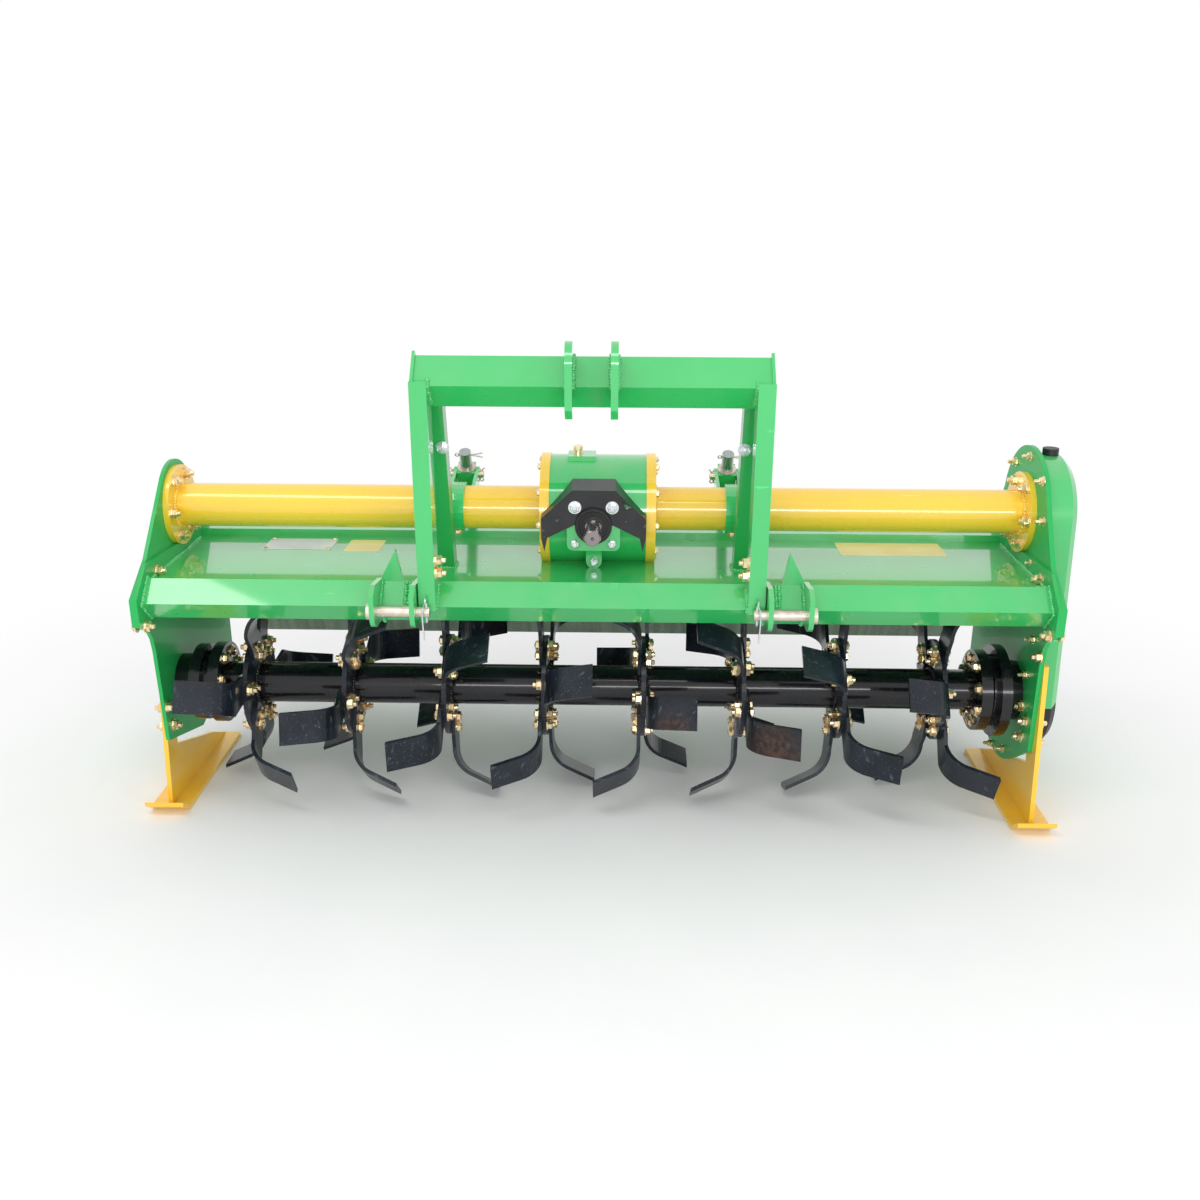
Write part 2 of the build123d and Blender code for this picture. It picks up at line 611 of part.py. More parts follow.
def top_link_ears():
    """Pair of plates over the crossbar with the bore for the top link's pin."""
    outline = polygon(
        [
            (TOP_PIN_Y - TOP_EAR_RADIUS, TOP_PIN_Z),
            (TOP_PIN_Y - TOP_EAR_RADIUS, CROSSBAR_Z - 36),
            (TOP_PIN_Y - 18, CROSSBAR_Z - 56),
            (CROSSBAR_Y - 8, CROSSBAR_Z - 24),
            (CROSSBAR_Y + 20, CROSSBAR_Z + 40),
            (TOP_PIN_Y + TOP_EAR_RADIUS * 0.7, TOP_PIN_Z + TOP_EAR_RADIUS * 0.7),
            (TOP_PIN_Y, TOP_PIN_Z),
        ]
    )
    outline += Pos(TOP_PIN_Y, TOP_PIN_Z) * Circle(TOP_EAR_RADIUS)
    outline -= Pos(TOP_PIN_Y, TOP_PIN_Z) * Circle(TOP_PIN_BORE / 2)
    notch = square_bar(-half, half, CROSSBAR_Y, CROSSBAR_Z, CROSSBAR_SIDE, CROSSBAR_TURN)
    pair = plate(-TOP_EAR_GAP / 2 - TOP_EAR_THICKNESS, TOP_EAR_THICKNESS, outline) - notch
    return Compound(children=[pair, plate(TOP_EAR_GAP / 2, TOP_EAR_THICKNESS, outline) - notch])


# ---- lower hitch ---------------------------------------------------------------
hitch_middle = HITCH_SPREAD / 2
hitch_inner_x = hitch_middle - HITCH_GAP / 2 - HITCH_EAR
hitch_outer_x = hitch_middle + HITCH_GAP / 2


def hitch_ears():
    """Right-hand clevis: two ears notched over the beam."""
    outline = polygon(
        [
            (HITCH_PIN_Y - HITCH_EAR_RADIUS, HITCH_PIN_Z),
            (HITCH_PIN_Y - HITCH_EAR_RADIUS, HITCH_PIN_Z + 42),
            (HITCH_PIN_Y - 4, HITCH_PIN_Z + 58),
            (BEAM_Y, HITCH_PIN_Z + 48),
            (BEAM_Y, HITCH_PIN_Z),
            (BEAM_Y - 20, HITCH_PIN_Z - 30),
            (HITCH_PIN_Y, HITCH_PIN_Z - HITCH_EAR_RADIUS),
        ]
    )
    outline += Pos(HITCH_PIN_Y, HITCH_PIN_Z) * Circle(HITCH_EAR_RADIUS)
    outline -= Pos(HITCH_PIN_Y, HITCH_PIN_Z) * Circle(HITCH_PIN_RADIUS + RUNNING_FIT)
    beam = square_bar(0, half, BEAM_Y, BEAM_Z, BEAM_SIDE, BEAM_TURN)
    return [plate(x, HITCH_EAR, outline) - beam for x in (hitch_inner_x, hitch_outer_x)]


def hitch_gusset():
    """Right-hand triangular gusset standing on the beam behind the outer ear."""
    outer = hitch_outer_x + HITCH_EAR
    corners = [(outer, 0), (outer - GUSSET_BASE, 0), (outer - GUSSET_BASE * GUSSET_PEAK, GUSSET_HEIGHT)]
    face = Plane.XZ.offset(-BEAM_Y - FIT_GAP) * (Pos(0, DECK_TOP) * polygon(corners))
    gusset = extrude(face, -GUSSET_THICKNESS)
    return gusset - square_bar(0, half, BEAM_Y, BEAM_Z, BEAM_SIDE, BEAM_TURN)


def hitch_pin():
    """Right-hand lower link pin with its head on the outside."""
    tail = hitch_inner_x - PIN_TAIL
    head = hitch_outer_x + HITCH_EAR + 1
    pin = along_x(tail, head, HITCH_PIN_Y, HITCH_PIN_Z, HITCH_PIN_RADIUS)
    return pin + along_x(head, head + PIN_HEAD_LENGTH, HITCH_PIN_Y, HITCH_PIN_Z, PIN_HEAD_RADIUS)


# ---- gear case -----------------------------------------------------------------
case_x = right_x + GEAR_PLATE


def case_outline(inset):
    """Tapering outline round the upper and the lower gear."""
    upper = Pos(AXLE_Y, AXLE_Z) * Circle(CASE_TOP_RADIUS - inset)
    lower = Pos(CASE_LOW_Y, CASE_LOW_Z) * Circle(CASE_BOTTOM_RADIUS - inset)
    return make_hull((upper + lower).edges())


def case_shell():
    """Whole cover with a broken outer edge, before the wear cap is taken off."""
    cover = plate(case_x, CASE_DEPTH, case_outline(0))
    return chamfer(cover.faces().sort_by(Axis.X)[-1].edges(), CASE_EDGE)


def gear_case_cover():
    """Pressed cover over the gear train, with a rounded outer edge."""
    return case_shell() - case_foot_block()


def case_foot_block():
    """Region of the lower front corner that the wear cap takes up."""
    low_y = CASE_LOW_Y - CASE_BOTTOM_RADIUS
    low_z = CASE_LOW_Z - CASE_BOTTOM_RADIUS * 0.52
    block = Pos(case_x + CASE_DEPTH / 2, low_y, low_z)
    return block * Rot(CASE_FOOT_TURN, 0, 0) * Box(CASE_DEPTH + 2, CASE_BOTTOM_RADIUS * 2, CASE_BOTTOM_RADIUS)


def gear_case_foot():
    """Wear cap on the lower front of the gear case."""
    return case_shell() & case_foot_block()


def filler_cap():
    """Oil filler cap on top of the gear case."""
    x = case_x + CASE_DEPTH / 2
    top = AXLE_Z + CASE_TOP_RADIUS
    cap = Pos(x, AXLE_Y, top + FILLER_HEIGHT / 2 - 3) * Cylinder(FILLER_RADIUS, FILLER_HEIGHT + 6)
    return cap - plate(case_x, CASE_DEPTH, case_outline(0))


# ---- skids ---------------------------------------------------------------------
def skid(low_x, forward):
    """Skid: upright plate bolted outside the side plate, flat sole, upturned toe."""
    sole_top = sole_bottom + SKID_SHEET
    top_y = SKID_TOP_Y - forward
    front_y = top_y - SKID_LEAN
    rear_y = front_y + SKID_LENGTH
    post = polygon(
        [
            (top_y, SKID_TOP_Z),
            (top_y + SKID_POST_WIDTH, SKID_TOP_Z),
            (front_y + 1.6 * SKID_POST_WIDTH, sole_top + 120),
            (rear_y - 2 * SKID_POST_WIDTH, sole_top + 40),
            (rear_y, sole_top),
            (front_y, sole_top),
        ]
    )
    body = plate(low_x, SKID_SHEET, post)
    middle = low_x + SKID_SHEET / 2
    sole = Pos(middle, (rear_y + front_y) / 2, sole_bottom + SKID_SHEET / 2)
    body += sole * Box(SKID_SOLE_WIDTH, SKID_LENGTH, SKID_SHEET)
    rise = math.radians(SKID_TOE_TURN)
    toe_y = front_y - SKID_TOE * math.cos(rise)
    toe_rise = SKID_TOE * math.sin(rise)
    toe = polygon(
        [
            (front_y, sole_bottom),
            (toe_y, sole_bottom + toe_rise),
            (toe_y, sole_top + toe_rise),
            (front_y, sole_top),
        ]
    )
    body += plate(middle - SKID_SOLE_WIDTH / 2, SKID_SOLE_WIDTH, toe)
    return body


def skid_right():
    """Right skid, its post cut back in front of the gear case."""
    return skid(right_x + GEAR_PLATE, RIGHT_SKID_FORWARD) - plate(case_x, SKID_SHEET, case_outline(-CASE_GAP))


# ---- tailboard -----------------------------------------------------------------
def hinge_knuckles(x_offset):
    """Centres along X of the knuckles on the deck or on the tailboard."""
    return [FRAME_OFFSET + x + x_offset for x in (-HINGE_SPREAD, 0, HINGE_SPREAD)]


def deck_hinges():
    """Knuckles and pins on the deck's rear edge."""
    pieces = []
    for x in hinge_knuckles(-KNUCKLE_LENGTH / 2):
        shell = Pos(HINGE_Y, HINGE_Z) * light_round(KNUCKLE_RADIUS)
        knuckle = plate(x - KNUCKLE_LENGTH / 2, KNUCKLE_LENGTH - 1, shell)
        web = polygon(
            [
                (HINGE_Y - 12, HINGE_Z),
                (HINGE_Y, HINGE_Z),
                (HINGE_Y - 1, HINGE_Z + KNUCKLE_RADIUS + 3),
                (HINGE_Y - 7, HINGE_Z + KNUCKLE_RADIUS + 5),
            ]
        )
        knuckle += plate(x - KNUCKLE_LENGTH / 2, KNUCKLE_LENGTH - 1, web)
        knuckle += along_x(x, x + 1.5 * KNUCKLE_LENGTH, HINGE_Y, HINGE_Z, HINGE_RADIUS)
        pieces.append(knuckle - deck())
    return Compound(children=pieces)


def tailboard():
    """Rear levelling board with hinge eyes, a folded lower lip and two rod lugs."""
    run_y = TAIL_REAR_Y - HINGE_Y
    run_z = TAIL_BOTTOM_Z - HINGE_Z
    length = math.hypot(run_y, run_z)
    ay, az = run_y / length, run_z / length
    ny, nz = -az, ay

    def at(along, out):
        return (HINGE_Y + ay * along + ny * out, HINGE_Z + az * along + nz * out)

    gap = KNUCKLE_RADIUS + 5
    sheet = polygon([at(gap, 0), at(length, 0), at(length, -TAIL_SHEET), at(gap, -TAIL_SHEET)])
    board = plate(FRAME_OFFSET - TAIL_WIDTH / 2, TAIL_WIDTH, sheet)
    lip = polygon([at(length - TAIL_SHEET, 0), at(length - TAIL_SHEET, 26), at(length, 26), at(length, 0)])
    board += plate(FRAME_OFFSET - TAIL_WIDTH / 2, TAIL_WIDTH, lip)
    for x in hinge_knuckles(KNUCKLE_LENGTH / 2):
        shell = Pos(HINGE_Y, HINGE_Z) * light_round(KNUCKLE_RADIUS - 2)
        eye = plate(x - KNUCKLE_LENGTH / 2, KNUCKLE_LENGTH, shell)
        arm = polygon([at(0, -TAIL_SHEET), at(gap + 20, -TAIL_SHEET), at(gap + 20, 6), at(0, 6)])
        eye += plate(x - KNUCKLE_LENGTH / 2, KNUCKLE_LENGTH, arm)
        eye -= along_x(x - KNUCKLE_LENGTH, x + KNUCKLE_LENGTH, HINGE_Y, HINGE_Z, HINGE_RADIUS + HINGE_BORE_GAP)
        board += eye
    for x in (-ROD_X, ROD_X):
        lug = polygon([at(length * 0.62, 0), at(length * 0.95, 0), (LUG_Y, LUG_Z - 20), (LUG_Y + 16, LUG_Z + 10), (LUG_Y, LUG_Z + 22)])
        lug += Pos(LUG_Y, LUG_Z) * light_round(24)
        lug -= Pos(LUG_Y, LUG_Z) * light_round(15, True)
        board += plate(x - LUG_SHEET / 2, LUG_SHEET, lug)
    return board


# ---- tailboard rods ------------------------------------------------------------
rod_length = math.hypot(LUG_Y - TRUNNION_Y, LUG_Z - TRUNNION_Z)
rod_y = (LUG_Y - TRUNNION_Y) / rod_length
rod_z = (LUG_Z - TRUNNION_Z) / rod_length
ROD_ABOVE = 67.0
TRUNNION_BLOCK = 40.0
TRUNNION_PIN_RADIUS = 8.0
CHEEK_GAP = 1.0
CHEEK = 8.0


def rod_plane(along):
    """Plane across the rod, this far down it from the trunnion; its normal points down the rod."""
    origin = Vector(ROD_X, TRUNNION_Y + rod_y * along, TRUNNION_Z + rod_z * along)
    return Plane(origin=origin, x_dir=(1, 0, 0), z_dir=(0, rod_y, rod_z))


def tail_rod():
    """Right-hand rod: slides in its trunnion, forks round the tailboard's lug."""
    fork_start = rod_length - 52
    rod = extrude(rod_plane(-ROD_ABOVE) * Circle(ROD_RADIUS), ROD_ABOVE + fork_start)
    fork = extrude(rod_plane(fork_start) * Rectangle(LUG_SHEET + 4 + 16, 30), 10)
    for side in (-1, 1):
        cheek = Pos(side * (LUG_SHEET / 2 + 2 + 4), 0) * Rectangle(8, 30)
        fork += extrude(rod_plane(fork_start + 10) * cheek, 60)
    fork += along_x(ROD_X - LUG_SHEET / 2 - 14, ROD_X + LUG_SHEET / 2 + 14, LUG_Y, LUG_Z, 8)
    return rod + fork


def trunnion():
    """Right-hand pivoting block that the rod slides through."""
    block = extrude(rod_plane(-TRUNNION_BLOCK / 2) * Rectangle(TRUNNION_BLOCK, TRUNNION_BLOCK), TRUNNION_BLOCK)
    pin_reach = TRUNNION_BLOCK / 2 + CHEEK_GAP + CHEEK
    block += along_x(ROD_X - pin_reach, ROD_X + pin_reach, TRUNNION_Y, TRUNNION_Z, TRUNNION_PIN_RADIUS)
    return block - extrude(rod_plane(-TRUNNION_BLOCK) * Circle(ROD_RADIUS + RUNNING_FIT), 2 * TRUNNION_BLOCK)


def rod_bracket():
    """Right-hand strap round the axle tube with two cheeks that hold the trunnion."""
    strap = Pos(AXLE_Y, AXLE_Z) * (light_round(AXLE_TUBE_RADIUS + 7) - light_round(AXLE_TUBE_RADIUS, True))
    bracket = plate(ROD_X - STRAP_WIDTH / 2, STRAP_WIDTH, strap)
    tube = Pos(AXLE_Y, AXLE_Z) * light_round(AXLE_TUBE_RADIUS, True)
    cheek = polygon(
        [
            (AXLE_Y + 30, AXLE_Z + 30),
            (TRUNNION_Y - 4, TRUNNION_Z + 15),
            (TRUNNION_Y, TRUNNION_Z),
            (TRUNNION_Y - 4, TRUNNION_Z - 16),
            (AXLE_Y + 30, AXLE_Z - 20),
        ]
    )
    cheek += Pos(TRUNNION_Y, TRUNNION_Z) * light_round(18)
    cheek -= Pos(TRUNNION_Y, TRUNNION_Z) * Circle(TRUNNION_PIN_RADIUS + RUNNING_FIT)
    cheek -= tube
    inner = TRUNNION_BLOCK / 2 + CHEEK_GAP
    bracket += plate(ROD_X - inner - CHEEK, CHEEK, cheek)
    bracket += plate(ROD_X + inner, CHEEK, cheek)
    saddle = polygon([(AXLE_Y + 30, AXLE_Z + 30), (AXLE_Y + 62, AXLE_Z + 30), (AXLE_Y + 62, AXLE_Z - 20), (AXLE_Y + 30, AXLE_Z - 20)])
    bracket += plate(ROD_X - inner, 2 * inner, saddle - tube)
    return bracket


# ---- assembly ------------------------------------------------------------------
nodes = {}
right_blade = blade()
for index in range(TINE_FLANGES):
    nodes[f"blade_set_{index + 1}"] = blade_set(index, right_blade)
nodes["rotor_tube"] = rotor_tube()
nodes["rotor_housing_left"] = rotor_housing_left()
nodes["rotor_housing_right"] = rotor_housing_right()
nodes["hub_cap_left"] = along_x(left_x - SIDE_PLATE - HUB_CAP_LENGTH, left_x - SIDE_PLATE, 0, 0, HUB_CAP_RADIUS)
nodes["side_plate_left"] = side_plate_left()
nodes["gear_case_plate"] = gear_case_plate()
nodes["gear_case_cover"] = gear_case_cover()
nodes["gear_case_foot"] = gear_case_foot()
nodes["filler_cap"] = filler_cap()
nodes["end_plate_left"] = end_plate(left_x)
nodes["end_plate_right"] = end_plate(inside_right)
nodes["front_beam"] = front_beam()
nodes["deck"] = deck()
nodes["deck_hinges"] = deck_hinges()
nodes["axle_tube_left"] = axle_tube(GEARBOX_LEFT - COVER_THICKNESS, left_x)
nodes["axle_tube_right"] = axle_tube(GEARBOX_RIGHT + COVER_THICKNESS, right_x)
nodes["gearbox_body"] = gearbox_body()
nodes["gearbox_cover_left"] = gearbox_cover(GEARBOX_LEFT - COVER_THICKNESS)
nodes["gearbox_cover_right"] = gearbox_cover(GEARBOX_RIGHT)
nodes["input_flange"] = input_flange()
nodes["input_shaft"] = input_shaft()
nodes["shaft_guard"] = shaft_guard()
nodes["headstock_crossbar"] = headstock_crossbar()
nodes["headstock_leg_left"], nodes["headstock_leg_right"] = both_sides(headstock_leg)
nodes["strut_left"], nodes["strut_right"] = both_sides(strut)
nodes["top_link_ears"] = top_link_ears()
nodes["hitch_ears_right"] = Compound(children=hitch_ears())
nodes["hitch_ears_left"] = Compound(children=[mirror(ear, Plane.YZ) for ear in hitch_ears()])
nodes["hitch_gusset_left"], nodes["hitch_gusset_right"] = both_sides(hitch_gusset)
nodes["hitch_pin_left"], nodes["hitch_pin_right"] = both_sides(hitch_pin)
nodes["skid_left"] = skid(left_x - SIDE_PLATE - SKID_SHEET, 0)
nodes["skid_right"] = skid_right()
nodes["rod_bracket_left"], nodes["rod_bracket_right"] = both_sides(rod_bracket)
nodes["trunnion_left"], nodes["trunnion_right"] = both_sides(trunnion)
nodes["tail_rod_left"], nodes["tail_rod_right"] = both_sides(tail_rod)
nodes["tailboard"] = tailboard()

boxes = [solid.bounding_box() for solid in nodes.values()]
low_x = min(box.min.X for box in boxes)
high_x = max(box.max.X for box in boxes)
low_y = min(box.min.Y for box in boxes)
high_y = max(box.max.Y for box in boxes)
low_z = min(box.min.Z for box in boxes)
to_origin = Pos(-(low_x + high_x) / 2, -(low_y + high_y) / 2, -low_z)
print("rotor axis in the part's frame:", to_origin.position)

os.makedirs("parts", exist_ok=True)
for name, solid in nodes.items():
    export_step(to_origin * solid, f"parts/{name}.step")
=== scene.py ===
"""Dresses a tractor-mounted rotary tiller: paint, fasteners, welds, plugs, pins, plates and stage."""

import json
import math

import bmesh
import bpy
from mathutils import Matrix, Vector
from mathutils.bvhtree import BVHTree


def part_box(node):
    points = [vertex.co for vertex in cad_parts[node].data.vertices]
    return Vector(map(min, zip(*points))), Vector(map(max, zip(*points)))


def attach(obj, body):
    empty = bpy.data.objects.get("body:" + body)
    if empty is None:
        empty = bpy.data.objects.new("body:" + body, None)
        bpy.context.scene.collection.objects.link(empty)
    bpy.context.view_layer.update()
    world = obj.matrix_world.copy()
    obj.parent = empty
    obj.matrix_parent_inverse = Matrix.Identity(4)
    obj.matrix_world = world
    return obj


bl_info = {
    "name": "Rotary Tiller Dressing",
    "version": (1, 0, 0),
    "blender": (4, 5, 0),
    "location": "View3D > Sidebar > Tiller",
    "description": "Paints and details a tractor-mounted rotary tiller",
    "category": "Object",
}

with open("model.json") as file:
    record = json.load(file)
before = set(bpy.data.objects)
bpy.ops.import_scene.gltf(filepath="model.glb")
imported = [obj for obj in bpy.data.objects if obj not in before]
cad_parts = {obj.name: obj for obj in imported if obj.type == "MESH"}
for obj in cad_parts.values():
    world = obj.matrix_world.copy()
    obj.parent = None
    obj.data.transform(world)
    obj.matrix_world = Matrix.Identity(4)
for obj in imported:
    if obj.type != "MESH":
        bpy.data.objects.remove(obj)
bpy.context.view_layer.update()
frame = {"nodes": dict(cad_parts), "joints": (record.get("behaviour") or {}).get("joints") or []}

MM = 0.001
X_AXIS = Vector((1, 0, 0))
Y_AXIS = Vector((0, 1, 0))
Z_AXIS = Vector((0, 0, 1))

# ---- the machine's own datum: rotor axis, and the middle of the headstock --------
joints = {joint["name"]: joint for joint in frame["joints"]}
rotor_axis = Vector(joints["rotor_spin"]["pos_m"])
rod_down = -Vector(joints["tail_rod_right_slide"]["axis"]).normalized()
crossbar_low, crossbar_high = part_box("headstock_crossbar")
middle_x = (crossbar_low.x + crossbar_high.x) / 2


def at(x, y, z):
    """Point in metres from millimetres right of the headstock's middle, behind and above the rotor axis."""
    return Vector((middle_x + x * MM, rotor_axis.y + y * MM, rotor_axis.z + z * MM))


def mirrored(side, x, y, z):
    """Point on the left (side -1) or the right (side 1)."""
    return at(side * x, y, z)


def inner_face(node, side):
    """X in millimetres, from the headstock's middle, of a node's face that looks inwards."""
    low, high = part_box(node)
    return ((high if side < 0 else low).x - middle_x) / MM


def outer_face(node, side):
    """X in millimetres, from the headstock's middle, of a node's face that looks outwards."""
    low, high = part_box(node)
    return ((low if side < 0 else high).x - middle_x) / MM


def middle_of(node):
    """X in millimetres, from the headstock's middle, of a node's middle."""
    low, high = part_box(node)
    return ((low.x + high.x) / 2 - middle_x) / MM


def front_face(node):
    """Y in millimetres from the rotor axis of a node's front face."""
    return (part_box(node)[0].y - rotor_axis.y) / MM


# ---- sizes in millimetres, across (X), behind (Y) and above (Z) the datum -----------
SIDES = ((-1, "left"), (1, "right"))
TUBE_Y = 80.0
TUBE_Z = 390.0
TUBE_RADIUS = 47.5
TUBE_FLANGE = 12.0
TUBE_BOLT_CIRCLE = 71.0
TUBE_BOLT_ANGLES = range(2, 362, 60)  # degrees from straight behind, upwards
COVER_BOLT_CIRCLE = 107.0
COVER_BOLT_ANGLES = range(-42, 262, 38)
SHAFT_Z = 390.0
FRONT_BOLT_X = 39.0
GUARD_BOLT_RISE = 39.0
FLANGE_BOLT_RISE = -40.0
DECK_TOP = 285.0
DECK_EDGE_Y = (-138, 186)  # front and rear end of the weld between deck and end plate
WELD_RISE = 1.0  # middle of a weld drop above a round surface

JOURNAL = 40.0
COUPLING = 24.0
COUPLING_BOLT_CIRCLE = 69.0
COUPLING_BOLT_ANGLES = range(20, 380, 45)
ROTOR_TUBE_RADIUS = 45.0
TINE_FLANGES = 8
TINE_FLANGE_HALF = 5.0
BLADE_THICKNESS = 8.0
BLADES_PER_HAND = 3
HAND_OFFSET = math.radians(60)  # right-handed blade against its left-handed twin
BLADE_BOLT_RADII = (75, 100)

# places (Y, Z) of fasteners, seen across the machine
END_PLATE_UPPER = (-100, 293)
END_PLATE_LOWER = (-191, 203)
LEG_BOLTS_Z = (349, 322)
SKID_NUTS_LEFT = ((-93, -66), (-112, -14))
SKID_NUTS_RIGHT = ((-134, 134), (-69, -9), (-103, -28), (-85, -73))
SKID_POST_Y = {"left": -88, "right": -114}
SKID_POST_Z = (-28, -73)
CASE_NUTS = (
    (162, 483),
    (72, 515),
    (-21, 483),
    (-54, 405),
    (-26, 306),
    (-84, 154),
    (-67, 65),
    (17, -153),
    (99, -179),
)
CASE_PLUGS_Z = (190, -30)

# where fasteners begin to look for their surface, and the linch pins' place: (X, Y, Z) unless named otherwise
DRAIN_PLUG = (1, -24, 300)
BREATHER_XY = (-37, 77)
FRONT_BOLT_Y = -60
CASE_NUTS_X = 930
CASE_PLUGS_XY = (978, 200)
SKID_NUTS_LEFT_X = -917
LEG_BOLTS_XY = (300, -184)
STRAP_BOLT_YZ = (40, 341)
STRUT_BOLT = (304, -110, 562)
LINCH_PIN = (331, -226, 253)

# rusted blade tips: (blade set, distance in from its right end, Y, Z, reach of the rust in metres)
RUST = (("blade_set_6", 45, -200, -60, 0.11), ("blade_set_5", 44, -228, -12, 0.085))

# front of the beam's section (Y, Z): lower edge, nose and top edge
BEAM_NOSE = (-197.4, 250.5)
BEAM_FRONT = ((-155.5, 208.6), BEAM_NOSE, (-152.5, 295.4))
STRUT_FOOT = ((344, 4), (344, -32), (298, -32), (298, 4))


def weld_runs(distances, places):
    """The same weld (Y, Z) at several distances from the middle."""
    return [[(x, y, z) for y, z in places] for x in distances]


SIDE_WELDS = (
    weld_runs((350, 360, 430, 440), BEAM_FRONT)  # lower link ears
    + weld_runs((314,), ((-160, 663), (-202, 702), (-194, 711)))  # crossbar on its leg
    + weld_runs((314,), ((-160, 289), BEAM_NOSE))  # leg on the beam
    + [[(x, y, DECK_TOP) for x, y in STRUT_FOOT]]
    + weld_runs((366, 373, 380), ((-158, 291), (-190, 259)))  # gusset
    + weld_runs((36, 50), ((-203, 701), (-154, 754), (-134, 736)))  # top link ears
)
DECK_STITCHES = range(-880, 860, 240)  # left ends of the short welds between deck and beam

# blank plates and labels on the deck: (name, left, right, front, rear, finish)
PLATES = (
    ("rating_plate", -748, -594, 89, 170, "plate"),
    ("deck_label_left", -563, -483, 77, 167, "label"),
    ("deck_label_right", 549, 785, 84, 180, "label"),
)
PLATE_CORNER = 5
PLATE_SINK = 0.4
PLATE_RIVETS = ((-741, 96), (-741, 163), (-601, 96), (-601, 163))
ROD_EYE = (430.0, 55.0)
ROD_EYE_HALF = 19.5

# ---- sizes in metres ----------------------------------------------------------------
USUAL_REACH = 0.06  # how far off its point a fastener looks for its surface
CASE_PLUG_REACH = 0.13
STRUT_BOLT_REACH = 0.15
SKID_BOLT_REACH = 0.1
BREATHER_SINK = 0.002
NOSE_SINK = 0.001
WIRE_RADIUS = 0.0016
WIRE_SIDES = 8
PIN_EYE = 0.004
LINCH_WIRE = (
    (0.0, -0.006, 0.004),
    (0.004, -0.019, -0.004),
    (0.005, -0.0215, -0.022),
    (0.004, -0.021, -0.05),
    (0.003, -0.020, -0.072),
)
TRUNNION_HALF = 0.0285
ROD_PIN_RISE = 0.058  # split pin and washer on the rod, above the trunnion's pivot
ROD_WASHER_RISE = 0.0205
DROP_STRAY = 0.0007
STUD_CHAMFER = 0.0012

# shares of a bolt head: foot of its bevelled crown in its height, crown's radius in its width
CROWN_FOOT = 0.82
CROWN_RADIUS = 0.43

# turned profiles: (along the axis, radius)
BREATHER = (
    (0, 0.0105),
    (0.004, 0.0105),
    (0.0041, 0.008),
    (0.009, 0.008),
    (0.0091, 0.0105),
    (0.017, 0.0105),
    (0.019, 0.0085),
)
SEAL = (
    (-0.012, 0.0385),
    (-0.0004, 0.0385),
    (0.0012, 0.0372),
    (0.0012, 0.0345),
    (0.0006, 0.034),
    (0.0006, 0.0322),
    (0.003, 0.0316),
    (0.003, 0.0296),
    (0.0007, 0.0286),
    (0.0007, 0.0256),
    (0.0018, 0.025),
    (0.0018, 0.0236),
    (0.0006, 0.023),
    (0.0006, 0.0178),
    (-0.012, 0.0178),
)
SHAFT_NOSE = ((0, 0.0160), (0.0015, 0.0160), (0.0026, 0.0148))
# black ring proud of the shaft's end: painted shade standing for its centre hole
CENTRE_HOLE_SHADE = ((0.0020, 0.0016), (0.0030, 0.0016), (0.0030, 0.0030), (0.0020, 0.0030))
LINCH_SHANK = ((0, 0.0032), (0.038, 0.0032), (0.042, 0.0014))
TRUNNION_PIN_END = ((0, 0.0078), (0.009, 0.0078), (0.010, 0.0068))
ROD_WASHER = ((0, 0.021), (0.003, 0.021))
EYE_WASHER = ((0, 0.014), (0.0025, 0.014))
RIVET = ((0, 0.0050), (0.0030, 0.0050), (0.0044, 0.0036), (0.0050, 0.0014))

# stage, from a point above the floor under the datum
STAGE_HEIGHT = 0.4
KEY_PLACE = Vector((-0.9, -1.9, 3.4))
KEY_SIZE = (3.4, 0.7)
FILL_PLACE = Vector((0.6, -3.8, 1.0))
FILL_SIZE = (3.2, 0.45)
FLOOR_FADE = (0.9, 2.3)  # distances at which the floor begins and ends to turn white


# ---- node trees -------------------------------------------------------------------
class Value:
    """A node's output, with the arithmetic of Math nodes."""

    def __init__(self, graph, socket):
        self.graph = graph
        self.socket = socket

    def __add__(self, other):
        return self.graph.math("ADD", self, other)

    def __radd__(self, other):
        return self.graph.math("ADD", other, self)

    def __mul__(self, other):
        return self.graph.math("MULTIPLY", self, other)

    def __rmul__(self, other):
        return self.graph.math("MULTIPLY", other, self)

    def step(self, low, high):
        """Smooth step from 0 at low to 1 at high."""
        inputs = {"Value": self, "From Min": low, "From Max": high}
        return self.graph.node("ShaderNodeMapRange", {"interpolation_type": "SMOOTHSTEP"}, inputs)


class Graph:
    """A node tree that is being built."""

    def __init__(self, tree):
        self.tree = tree

    def plug(self, socket, value):
        """Feeds a socket with a constant, a Value or a list of Values."""
        for part in value if isinstance(value, list) else [value]:
            if isinstance(part, Value):
                self.tree.links.new(part.socket, socket)
            else:
                socket.default_value = part

    def node(self, kind, settings=None, inputs=None, output=0):
        """Adds a node, sets it up, feeds it, and gives back one output, where it has any."""
        node = self.tree.nodes.new(kind)
        for key, value in (settings or {}).items():
            setattr(node, key, value)
        for key, value in (inputs or {}).items():
            self.plug(node.inputs[key], value)
        return Value(self, node.outputs[output]) if node.outputs else None

    def math(self, operation, first, second):
        return self.node("ShaderNodeMath", {"operation": operation}, {0: first, 1: second})

    def looked_at(self):
        """1 for rays from the camera, off gloss or through glass, and 0 for light on the object."""
        rays = ("Is Camera Ray", "Is Glossy Ray", "Is Transmission Ray")
        camera, glossy, through = [self.node("ShaderNodeLightPath", output=ray) for ray in rays]
        return self.math("MAXIMUM", self.math("MAXIMUM", camera, glossy), through)


